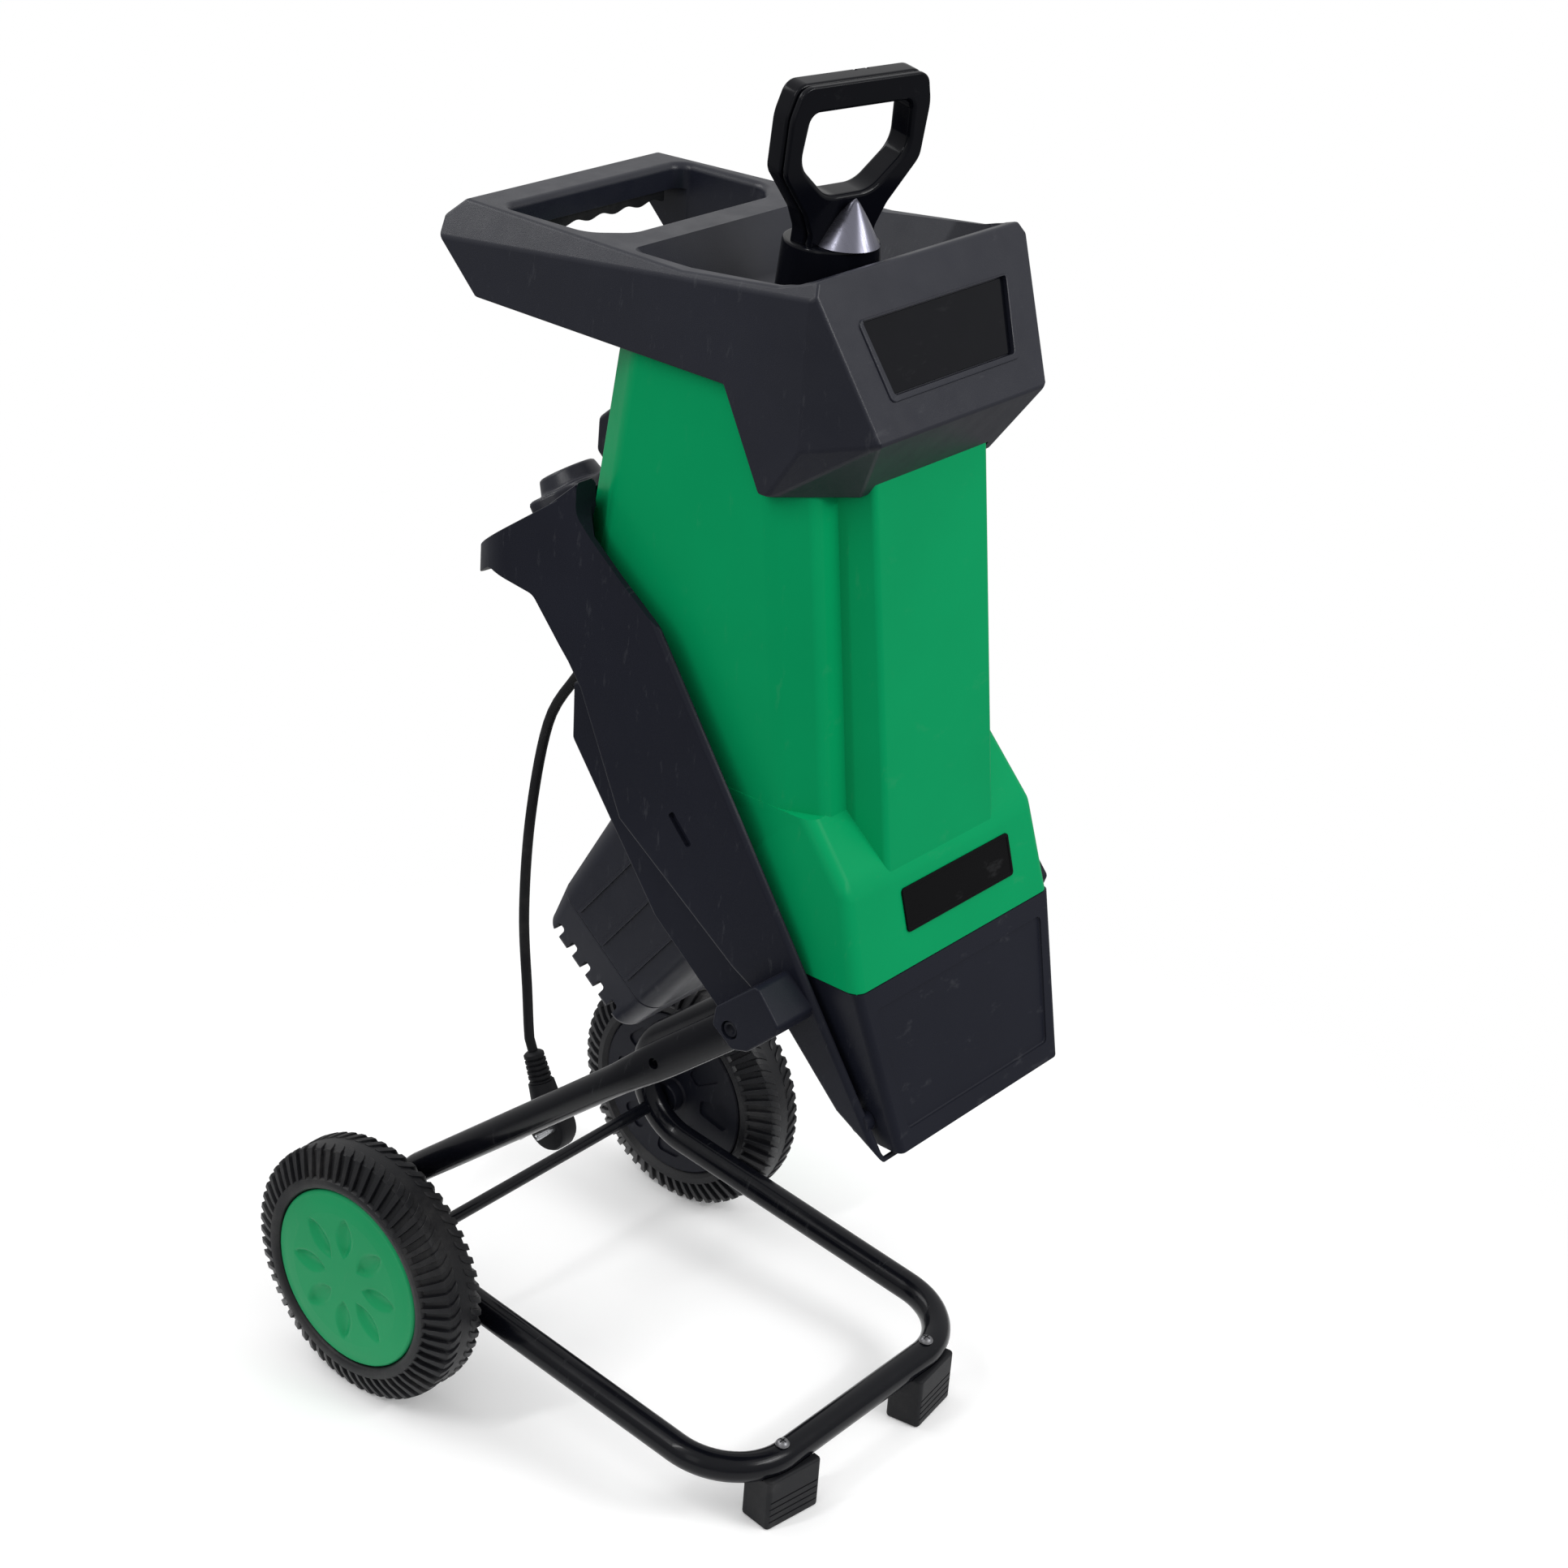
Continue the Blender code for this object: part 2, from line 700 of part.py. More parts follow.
def arm_slot(side):
    along = arm_direction()
    end = Vector(ARM_END) + along * RUN
    square = Vector((-along.y, along.x)) * (ARM_HEIGHT / 2 + RUN)
    far = end - along * 0.12
    outline = [tuple(end + square), tuple(far + square), tuple(far - square), tuple(end - square)]
    inner = ARM_X - ARM_THICKNESS / 2 - RUN
    outer = ARM_X + ARM_THICKNESS / 2 + RUN
    low, high = sorted((side * inner, side * outer))
    return side_prism("arm slot", outline, low, high)


def make_base():
    base = side_prism("base_housing", tray_outline(), -BASE_HALF_WIDTH, BASE_HALF_WIDTH, "black plastic")
    trim(base, tip_planes())
    visor = side_prism("visor", visor_outline(), -BASE_HALF_WIDTH, BASE_HALF_WIDTH)
    boolean(visor, flat("visor plan", [visor_plan()], 0.5, 0.8), "INTERSECT")
    join(base, visor)
    body = flat("lower body", [lower_outline()], -LOWER_HALF_WIDTH, LOWER_HALF_WIDTH, place=UNIT @ SIDEWAYS)
    corner = ((0.0935, 0.054, 0.018), (0.0935, 0.112, 0.033), (0.060, 0.066, 0.0))
    corner = [UNIT @ Vector(p) for p in corner]
    trim(settled(body), both_sides(*corner, UNIT @ Vector((0, 0, 0.06))))
    join(base, body)
    pedestal = side_prism("switch pedestal", [
        (0.030, 0.555), (SWITCH_FRONT - GAP, 0.560), (SWITCH_FRONT - GAP, 0.615), (0.030, 0.620),
    ], SWITCH_LEFT + 0.005, SWITCH_RIGHT - 0.005)
    join(base, pedestal)
    for side in (-1, 1):
        low, high = sorted((side * (LOWER_HALF_WIDTH - 0.010), side * SOCKET_FACE_X))
        join(base, side_prism("leg socket", socket_outline(), low, high))
    pocket_half = BASE_HALF_WIDTH - BASE_WALL
    pocket = side_prism("pocket", pocket_outline(), -pocket_half, pocket_half)
    narrow = pocket_half - 0.0275
    trim(pocket, both_sides((pocket_half, 0.022, 0), (narrow, 0.057, 0), (narrow, 0.057, 1), (0, 0, 0.6)))
    trim(pocket, tip_planes(BASE_WALL))
    cut(base, pocket)
    cut(base, cylinder("disc chamber", CHAMBER_RADIUS, CHAMBER_FLOOR, 0.115, place=UNIT, segments=FINE))
    ceiling = CHAMBER_FLOOR - FLOOR_PLATE
    cavity = box("motor side hollow", (-0.066, -0.080, -0.01), (0.066, 0.044, ceiling), place=UNIT)
    cut(base, cavity)
    hub_radius = BEARING_UPPER_RADIUS + 0.006
    join(base, cylinder("bearing hub", hub_radius, 0.0, CHAMBER_FLOOR, place=UNIT))
    seat = BEARING_UPPER_WIDTH + 0.0025
    cut(base, cylinder("bearing seat", BEARING_UPPER_RADIUS + GAP, -0.01, seat, place=UNIT))
    cut(base, cylinder("shaft hole", SHAFT_RADIUS + 0.003, 0.0, CHAMBER_FLOOR + THROUGH, place=UNIT))
    for side in (-1, 1):
        low, high = sorted((side * (TIP_HALF_WIDTH - 0.0055), side * (TIP_HALF_WIDTH + 0.002)))
        join(base, cylinder("hinge boss", HINGE_BOSS_RADIUS, low, high, place=across_at(*HINGE),
                            segments=24))
        cut(base, arm_slot(side))
    for side in (-1, 1):
        low, high = sorted((side * (TIP_HALF_WIDTH - 0.01), side * (TIP_HALF_WIDTH + 0.0015)))
        cut(base, cylinder("hinge bore", HINGE_RADIUS + GAP, low, high, place=across_at(*HINGE),
                           segments=16))
    for side in (-1, 1):
        low, high = sorted((side * 0.107, side * 0.16))
        cut(base, cylinder("leg bolt bore", LEG_BOLT_RADIUS + GAP, low, high,
                           place=across_at(*LEG_BOLT), segments=COARSE))
        low, high = sorted((side * BOLT_SEAT_X, side * 0.16))
        cut(base, cylinder("leg bolt recess", BOLT_HEAD_RADIUS + GAP, low, high,
                           place=across_at(*LEG_BOLT)))
    cut(base, cylinder("stud bore", STUD_RADIUS + RUN, -0.021, 0.01, place=SHELF, segments=24))


def make_leg_bolts():
    head = BOLT_HEAD_RADIUS
    low = BOLT_SEAT_X + GAP
    high = SOCKET_FACE_X - 0.0010
    for side, word in ((-1, "left"), (1, "right")):
        place = across_at(*LEG_BOLT) @ Matrix.Rotation(math.pi / 2 * (1 - side), 4, "Y")
        turned("leg_bolt_" + word, [
            (0, high), (head - 0.001, high), (head, high - 0.001), (head, low),
            (LEG_BOLT_RADIUS, low), (LEG_BOLT_RADIUS, 0.109), (0, 0.108),
        ], "gloss black", place, 24)


# Lock knob and its stud

def make_lock():
    empty = axis_empty("lock_axis", SHELF)
    lobes = []
    for k in range(50):
        angle = 2 * math.pi * k / 50
        radius = KNOB_RADIUS + KNOB_LOBE * math.cos(KNOB_LOBES * angle)
        lobes.append((radius * math.sin(angle), radius * math.cos(angle)))
    knob = flat("lock_knob", [lobes], KNOB_LIFT, KNOB_SKIRT, "black plastic", SHELF)
    join(knob, cylinder("knob boss", KNOB_RADIUS * 0.72, KNOB_SKIRT - 0.002, KNOB_HEIGHT, place=SHELF,
                        top=KNOB_RADIUS * 0.62))
    join(knob, cylinder("knob foot", 0.012, GAP, KNOB_LIFT + 0.002, place=SHELF, segments=24))
    cut(knob, cylinder("knob bore", STUD_RADIUS + GAP, -0.01, KNOB_HEIGHT - 0.005, place=SHELF,
                       segments=24))
    stud = cylinder("lock_stud", STUD_RADIUS, -0.020, KNOB_HEIGHT - 0.0055, "steel", SHELF, 24)
    hang(empty, knob, stud)


# Motor: everything along the tilted axis

def motor_loop(inset=0.0):
    return rectangle(MOTOR_HALF_WIDTH - inset, MOTOR_LOW + inset, MOTOR_HIGH - inset, MOTOR_CORNER - inset)


def taper(thing):
    """Draws the upper side of a motor casing in towards its far end."""
    for vert in thing.data.vertices:
        vert.co.y = MOTOR_LOW + (vert.co.y - MOTOR_LOW) * (1 + MOTOR_TAPER * min(0.0, vert.co.z))
    return thing


def make_motor_casing():
    top = -GAP
    bottom = -MOTOR_LENGTH
    shell = taper(flat("motor_shell", [motor_loop()], bottom, top, "black plastic", UNIT))
    cut(shell, cylinder("stator bore", STATOR_RADIUS + GAP, bottom - THROUGH, THROUGH, place=UNIT,
                        segments=FINE))
    for side in (-1, 1):
        low, high = sorted((side * 0.030, side * (MOTOR_HALF_WIDTH - 0.0035)))
        cut(shell, box("side hollow", (low, -0.030, bottom - THROUGH), (high, 0.020, -0.006), place=UNIT))
    cap_top = bottom - GAP
    floor = cap_top - END_CAP_LENGTH
    cap = taper(flat("motor_end_cap", [motor_loop()], floor, cap_top, "black plastic", UNIT))
    for vert in cap.data.vertices:
        if vert.co.z < floor + 0.001:
            vert.co.x *= 0.96
            vert.co.y *= 0.95
    hollow = taper(flat("cap hollow", [motor_loop(0.0045)], floor + 0.0045, cap_top + THROUGH, place=UNIT))
    for vert in hollow.data.vertices:
        if vert.co.z < floor + 0.006:
            vert.co.x *= 0.96
            vert.co.y *= 0.95
    cut(cap, hollow)
    join(cap, cylinder("end bearing boss", BEARING_LOWER_RADIUS + 0.005, floor + 0.002, floor + 0.017,
                       place=UNIT))
    cut(cap, cylinder("end bearing seat", BEARING_LOWER_RADIUS + GAP, floor + 0.0065, floor + 0.04,
                      place=UNIT))
    for side in (-1, 1):
        for k in range(5):
            y = -0.036 + 0.0165 * k
            low, high = sorted((side * (MOTOR_HALF_WIDTH - 0.014), side * (MOTOR_HALF_WIDTH + 0.01)))
            cut(cap, box("vent notch", (low, y - 0.0035, floor - 0.005), (high, y + 0.0035, floor + 0.014),
                         place=UNIT))
    return floor


def make_motor_insides(floor):
    low = STATOR_LEVEL
    high = low + STATOR_LENGTH
    bore = ARMATURE_RADIUS + 0.001
    turned("stator", [(STATOR_RADIUS, high), (STATOR_RADIUS, low), (bore, low), (bore, high)],
           "dark steel", UNIT, FINE, ring=True)
    upper_low = 0.0022
    upper_high = upper_low + BEARING_UPPER_WIDTH
    hole = SHAFT_RADIUS + GAP
    turned("bearing_upper", [
        (BEARING_UPPER_RADIUS, upper_high), (BEARING_UPPER_RADIUS, upper_low), (hole, upper_low),
        (hole, upper_high),
    ], "steel", UNIT, MEDIUM, ring=True)
    end_low = floor + 0.0065 + GAP
    end_high = end_low + BEARING_LOWER_WIDTH
    end_shaft = 0.006
    turned("bearing_lower", [
        (BEARING_LOWER_RADIUS, end_high), (BEARING_LOWER_RADIUS, end_low), (end_shaft + GAP, end_low),
        (end_shaft + GAP, end_high),
    ], "steel", UNIT, MEDIUM, ring=True)
    commutator_low = STATOR_LEVEL - 0.018
    commutator_high = commutator_low + 0.012
    for side, word in ((-1, "left"), (1, "right")):
        near = side * (0.0165 + RUN)
        far = side * 0.0408
        a, b = sorted((near, far))
        box("brush_" + word, (a, -0.004, commutator_low + 0.002), (b, 0.004, commutator_high - 0.002),
            "carbon", UNIT)
    return end_low, end_high, end_shaft, commutator_low, commutator_high


def make_rotor(levels):
    end_low, end_high, end_shaft, commutator_low, commutator_high = levels
    empty = axis_empty("rotor_axis", UNIT)
    seat = DISC_LEVEL - GAP
    disc_top = DISC_LEVEL + DISC_THICKNESS
    nut_low = disc_top + GAP
    nut_high = nut_low + 0.007
    tip = nut_high + 0.001
    shaft = turned("rotor_shaft", [
        (0, tip), (NOSE_RADIUS, tip), (NOSE_RADIUS, seat), (0.014, seat), (0.014, seat - 0.004),
        (SHAFT_RADIUS, seat - 0.004), (SHAFT_RADIUS, end_high + 0.002), (end_shaft, end_high + 0.002),
        (end_shaft, end_low), (0, end_low),
    ], "steel", UNIT, 24)
    hole = SHAFT_RADIUS + GAP
    core = turned("armature_core", [
        (ARMATURE_RADIUS, STATOR_LEVEL + STATOR_LENGTH - 0.002), (ARMATURE_RADIUS, STATOR_LEVEL + 0.002),
        (hole, STATOR_LEVEL - 0.004), (hole, STATOR_LEVEL + STATOR_LENGTH + 0.0015),
    ], "dark steel", UNIT, MEDIUM, ring=True)
    commutator = turned("commutator", [
        (0.0165, commutator_high), (0.0165, commutator_low), (hole, commutator_low),
        (hole, commutator_high),
    ], "copper", UNIT, MEDIUM, ring=True)
    fan_low = STATOR_LEVEL + STATOR_LENGTH + 0.0025
    fan = turned("cooling_fan", [
        (0.014, fan_low + 0.012), (0.014, fan_low + 0.003), (FAN_RADIUS, fan_low + 0.003),
        (FAN_RADIUS, fan_low), (hole, fan_low), (hole, fan_low + 0.012),
    ], "fan plastic", UNIT, MEDIUM, ring=True)
    for k in range(9):
        turn = UNIT @ Matrix.Rotation(2 * math.pi * k / 9, 4, "Z")
        far = (FAN_RADIUS - 0.002, 0.001, fan_low + 0.010)
        join(fan, box("fan blade", (0.012, -0.001, fan_low + 0.002), far,
                      place=turn))
    disc = turned("blade_disc", [
        (DISC_RADIUS, disc_top), (DISC_RADIUS, DISC_LEVEL), (NOSE_RADIUS + GAP, DISC_LEVEL),
        (NOSE_RADIUS + GAP, disc_top),
    ], "steel", UNIT, FINE, ring=True)
    nut = flat("disc_nut", [circle(0.0115, 6), circle(NOSE_RADIUS + GAP, 16)], nut_low, nut_high, "steel",
               UNIT)
    things = [shaft, core, commutator, fan, disc, nut]
    for k, word in enumerate(("a", "b")):
        turn = UNIT @ Matrix.Rotation(math.pi * (k + 0.35), 4, "Z")
        half = BLADE_WIDTH / 2
        outer = BLADE_INNER + BLADE_LENGTH
        low = disc_top + GAP
        high = low + BLADE_THICKNESS
        blade = box("blade_" + word, (BLADE_INNER, -half, low), (outer, half, high), "steel", turn)
        bevel = [((0, half, low + 0.0006), (0, 0.5, 0.85)), ((0, -half, low + 0.0006), (0, -0.5, 0.85))]
        trim(blade, [(Vector(p), Vector(n).normalized()) for p, n in bevel])
        cut(disc, box("chip slot " + word, (BLADE_INNER + 0.002, half + 0.001, DISC_LEVEL - THROUGH),
                      (outer, half + 0.009, disc_top + THROUGH), place=turn))
        for n, along in enumerate((0.24, 0.76)):
            spot = turn @ Matrix.Translation((BLADE_INNER + BLADE_LENGTH * along, 0, 0))
            clear = BLADE_SCREW_RADIUS + GAP
            head = BLADE_SCREW_RADIUS * 1.8
            bore = cylinder("blade screw bore", clear, DISC_LEVEL - THROUGH, high + THROUGH, place=spot,
                            segments=COARSE)
            cut(disc, bore)
            cut(blade, bore)
            cut(blade, cylinder("blade screw sink", clear, low + 0.001, high + 0.0005, place=spot,
                                segments=COARSE, top=head + GAP + 0.0005))
            things.append(turned(f"blade_screw_{word}{n + 1}", [
                (0, high), (head, high), (BLADE_SCREW_RADIUS, low + 0.0012),
                (BLADE_SCREW_RADIUS, DISC_LEVEL - 0.003), (0, DISC_LEVEL - 0.003),
            ], "dark steel", spot, COARSE))
        things.append(blade)
    hang(empty, *things)


# Hopper: green housing, collar, chute and discharge box

def trunk_floor():
    """The slanted plane where the hopper's trunk ends, inside the base."""
    return across((0.045, 0.683), (-0.190, 0.420), (0, -0.15, 0.75))


def skirt_floor(lower=0.0):
    """The slanted plane where the skirt and the discharge box end, along the base's upper edge."""
    point, normal = across((-0.2291, 0.3342), (-0.0005, 0.6625), (0, -0.15, 0.75))
    return point + normal * lower, normal


def trunk_planes(top, side_inset=0.0):
    inside = (0, -0.05, 0.65)
    width = HOPPER_HALF_WIDTH - side_inset
    ridge = width - 0.013
    return [
        across((-0.133, 0.750), (-0.158, 0.560), inside),
        across((0.040, 0.810), (0.055, 0.700), inside),
        (Vector((width, 0, 0)), Vector((1, 0, 0))),
        (Vector((-width, 0, 0)), Vector((-1, 0, 0))),
        *both_sides((width, -0.105, 0.750), (ridge, -0.133, 0.750), (width, -0.130, 0.560), inside),
        *both_sides((width, 0.017, 0.810), (width - 0.015, 0.040, 0.810), (width, 0.032, 0.700), inside),
    ] + ([(Vector((0, 0, top)), Vector((0, 0, 1)))] if top else [])


def panel_planes():
    inside = (0, -0.12, 0.65)
    width = HOPPER_HALF_WIDTH - 0.0412
    return [
        across((-0.157, 0.750), (-0.190, 0.516), inside),
        *both_sides((width, -0.157, 0.750), (width + 0.0077, -0.133, 0.750),
                    (width - 0.0009, -0.190, 0.516), inside),
        (Vector((0, -0.100, 0)), Vector((0, 1, 0))),
    ]


def skirt_planes():
    inside = (0, -0.10, 0.50)
    width = HOPPER_HALF_WIDTH + 0.003
    return [
        across((-0.191, 0.515), (-0.2105, 0.4504), inside),
        across((-0.191, 0.515), (-0.155, 0.556), inside),
        *both_sides((width, -0.191, 0.515), (width + 0.004, -0.2105, 0.4504), (width, -0.10, 0.515),
                    inside),
        *both_sides((width, -0.191, 0.515), (width - 0.0028, -0.155, 0.556), (width, -0.10, 0.515),
                    inside),
    ]


def level(z, up):
    return Vector((0, 0, z)), Vector((0, 0, 1 if up else -1))


def make_housing(empty):
    wall = HOPPER_WALL
    housing = block("hopper_housing", trunk_planes(HOPPER_TOP) + [trunk_floor(), level(0.47, False)],
                    finish="green plastic")
    join(housing, block("front panel", panel_planes() + [level(HOPPER_TOP - 0.04, True),
                                                         level(0.50, False)]))
    join(housing, block("skirt", skirt_planes() + [skirt_floor(), level(0.553, True),
                                                    level(SKIRT_BOTTOM, False)]))
    cut(housing, block("trunk hollow", trunk_planes(None) + [level(0.90, True), level(0.40, False)], wall))
    cut(housing, block("panel hollow", panel_planes() + [level(0.800, True), level(0.45, False)], wall))
    cut(housing, block("skirt hollow", skirt_planes() + [level(0.5525, True), level(0.35, False)], wall))
    hang(empty, housing)


def make_label(empty):
    a = Vector((0, -0.191, 0.515))
    b = Vector((0, -0.2105, 0.4504))
    down = (b - a).normalized()
    out = down.cross(Vector((1, 0, 0)))
    centre = a + down * LABEL_DOWN + out * GAP + Vector((LABEL_X, 0, 0))
    place = Matrix.Translation(centre) @ Matrix((Vector((1, 0, 0)), -down, out)).transposed().to_4x4()
    hang(empty, flat("label_plate", [rectangle(0.0587, -0.0150, 0.0150, 0.003)], 0.0, 0.0010,
                     "black plastic", place))


def collar_outline():
    return rounded([
        (-0.1315, 0.9009), (-0.105, 0.8923, 0.02), (-0.030, 0.8836, 0.03), (0.1610, 0.8812, 0.004),
        (0.1700, 0.8765, 0.003), (0.1762, 0.8660, 0.004), (0.1735, 0.8570, 0.005),
        (0.1400, 0.8242, 0.006), (-0.0695, 0.8220, 0.015), (-0.1020, 0.7604, 0.008),
        (-0.150, 0.7615), (-0.176, 0.807),
    ])


def collar_planes():
    inside = (0, 0, 0.85)
    rim = (HANDLE_HALF_WIDTH, -0.1315, 0.9009)
    low_side = (HANDLE_HALF_WIDTH - 0.0015, -0.135, 0.797)
    low_front = (HANDLE_HALF_WIDTH - 0.0219, -0.176, 0.807)
    foot = (HANDLE_HALF_WIDTH - 0.0433, -0.1507, 0.7607)
    corner = (HANDLE_HALF_WIDTH - 0.0015, -0.1111, 0.7596)
    top_rear = (HANDLE_HALF_WIDTH - 0.014, 0.150, 0.8812)
    side_rear = (HANDLE_HALF_WIDTH, 0.150, 0.8600)
    side_front = (HANDLE_HALF_WIDTH, -0.090, 0.8860)
    return [
        *both_sides(rim, low_side, low_front, inside),
        *both_sides(low_side, low_front, corner, inside),
        *both_sides(low_front, foot, corner, inside),
        *both_sides(top_rear, side_rear, side_front, inside),
    ]


def handle_loop():
    width = HANDLE_OPENING
    return rounded([
        (-width, 0.137, 0.010), (-width, 0.064, 0.020), (0.0205 - width, 0.046, 0.016),
        (width - 0.0205, 0.046, 0.016),
        (width, 0.064, 0.020), (width, 0.137, 0.010),
    ])


def make_collar(empty):
    collar = side_prism("hopper_collar", collar_outline(), -HANDLE_HALF_WIDTH, HANDLE_HALF_WIDTH,
                        "black plastic")
    trim(collar, collar_planes())
    seat = [level(HOPPER_TOP + GAP, True), level(0.70, False)]
    cut(collar, block("housing seat", [(p + n * GAP, n) for p, n in trunk_planes(None)] + seat))
    cut(collar, block("panel seat", [(p + n * GAP, n) for p, n in panel_planes()]
                      + [level(HOPPER_TOP - 0.04 + GAP, True), level(0.70, False)]))
    inside = (0, -0.05, 0.87)
    front_high, front_low = (-0.1240, 0.8975), (-0.112, FUNNEL_FLOOR)
    rear_high, rear_low = (0.0200, 0.8830), (-0.004, FUNNEL_FLOOR)
    narrow = MOUTH_HALF_WIDTH - 0.0215
    mouth = block("mouth", [
        across(front_high, front_low, inside), across(rear_high, rear_low, inside),
        *both_sides((MOUTH_HALF_WIDTH, 0, 0.885), (narrow, 0, FUNNEL_FLOOR), (narrow, 0.1, FUNNEL_FLOOR),
                    inside),
        level(FUNNEL_FLOOR, False), level(0.95, True),
    ])
    cut(collar, mouth)
    cut(collar, cylinder("throat", CHUTE_RADIUS + 0.001, HOPPER_TOP - 0.01, FUNNEL_FLOOR + THROUGH,
                         place=Matrix.Translation((0, PLUNGER_Y, 0)), segments=MEDIUM))
    cut(collar, flat("handle opening", [handle_loop()], 0.75, 0.95))
    cut(collar, box("under the bar", (-HANDLE_OPENING, 0.130, 0.78), (HANDLE_OPENING, 0.200, BAR_BOTTOM)))
    recess = plane((0, -0.1315, 0.9009), (0, -0.176, 0.807), (1, -0.176, 0.807), inside)
    out = recess[1]
    up = Vector((0, -0.1315 + 0.176, 0.9009 - 0.807)).normalized()
    origin = Vector((0, -0.1591, 0.8545)) + out * (out.dot(Vector((0, -0.1315, 0.9009))
                                                           - Vector((0, -0.1591, 0.8545))))
    place = Matrix.Translation(origin) @ Matrix((Vector((1, 0, 0)), up, out)).transposed().to_4x4()
    wide = HANDLE_HALF_WIDTH - 0.035
    window = rounded([(-wide, 0.024, 0.002), (wide, 0.024, 0.002), (wide - 0.0117, -0.024, 0.002),
                      (0.0117 - wide, -0.024, 0.002)])
    cut(collar, flat("panel recess", [window], -0.0035, THROUGH, place=place))
    wide -= 0.001
    inner = rounded([(-wide, 0.0232, 0.002), (wide, 0.0232, 0.002), (wide - 0.0115, -0.0232, 0.002),
                     (0.0115 - wide, -0.0232, 0.002)])
    panel = flat("collar_panel", [inner], -0.0035 + GAP, -0.0018, "gloss black", place)
    grip_top = BAR_BOTTOM - GAP
    grip_outline = [(-0.075, grip_top), (0.075, grip_top)]
    for k in range(25):
        x = 0.075 - 0.15 * k / 24
        grip_outline.append((x, grip_top - 0.0075 - 0.0013 * math.cos(2 * math.pi * k / 4)))
    grip = flat("handle_grip", [grip_outline], -0.1650, -0.1400, "rubber", UPRIGHT)
    hang(empty, collar, panel, grip)


def make_chute(empty):
    place = Matrix.Translation((0, PLUNGER_Y, 0))
    outer = CHUTE_RADIUS + CHUTE_WALL
    top = HOPPER_TOP
    chute = turned("feed_chute", [
        (outer + 0.006, top), (outer + 0.006, top - 0.003), (outer, top - 0.003), (outer, 0.40),
        (CHUTE_RADIUS, 0.40), (CHUTE_RADIUS, top),
    ], "black plastic", place, MEDIUM, ring=True)
    low = UNIT @ Vector((0, 0, CHUTE_LEVEL))
    cut(chute, box("chute end", (-0.2, -0.3, -0.3), (0.2, 0.3, 0.0),
                   place=Matrix.Translation(low) @ Matrix.Rotation(DISC_TILT, 4, "X")))
    hang(empty, chute)


def box_planes():
    inside = (0, -0.19, 0.42)
    wide, narrow = HOPPER_HALF_WIDTH + 0.0068, TIP_HALF_WIDTH - 0.0097
    return [
        across((-0.2108, 0.4500), (-0.2445, BOX_BOTTOM), inside),
        *both_sides((wide, -0.2108, 0.4500), (narrow, -0.2445, BOX_BOTTOM), (wide, -0.15, 0.4500), inside),
    ]


def make_discharge_box(empty):
    floor = skirt_floor(0.005)
    top = SKIRT_BOTTOM - GAP
    wall = HOPPER_WALL
    lip_inset = wall + GAP
    lip_planes = [(p - n * lip_inset, n) for p, n in skirt_planes()]
    thing = block("discharge_box", box_planes() + [floor, level(BOX_BOTTOM, False), level(top, True)],
                  finish="black plastic")
    join(thing, block("box lip", lip_planes + [floor, level(top + 0.010, True), level(top - 0.004, False)]))
    cut(thing, block("box hollow", box_planes() + [level(top - 0.006, True), level(0.30, False)], wall))
    inner = lip_planes + [(p - n * lip_inset, n) for p, n in box_planes()]
    cut(thing, block("lip hollow", inner + [level(0.60, True), level(top - 0.012, False)], wall))
    cut(thing, cylinder("box hinge bore", HINGE_RADIUS + RUN, -0.13, 0.13, place=across_at(*HINGE),
                        segments=COARSE))
    hang(empty, thing)


def make_hinge_pins():
    for side, word in ((-1, "left"), (1, "right")):
        low, high = sorted((side * (TIP_HALF_WIDTH - 0.015), side * (TIP_HALF_WIDTH + 0.001)))
        cylinder("hinge_pin_" + word, HINGE_RADIUS, low, high, "steel", across_at(*HINGE), COARSE)


def make_latch(empty):
    latch = side_prism("hopper_latch", rounded([
        (0.0475, 0.7580), (0.0745, 0.7535, 0.006), (0.0862, 0.7430, 0.005), (0.0866, 0.7195, 0.003),
        (0.0790, 0.7135, 0.003), (0.0536, 0.7140),
    ]), -0.045, 0.045, "black plastic")
    foot = [SHELF @ Vector((0, y, z)) for y, z in ((-0.0580, 0.0020), (-0.025, 0.0020), (-0.025, GAP),
                                                   (-0.0601, GAP))]
    lug_outline = [(0.0869, 0.735), (0.0886, 0.735)] + [(p.y, p.z) for p in foot]
    lug = side_prism("latch_lug", lug_outline, -0.010, 0.010, "steel")
    hang(empty, latch, lug)


# Plunger

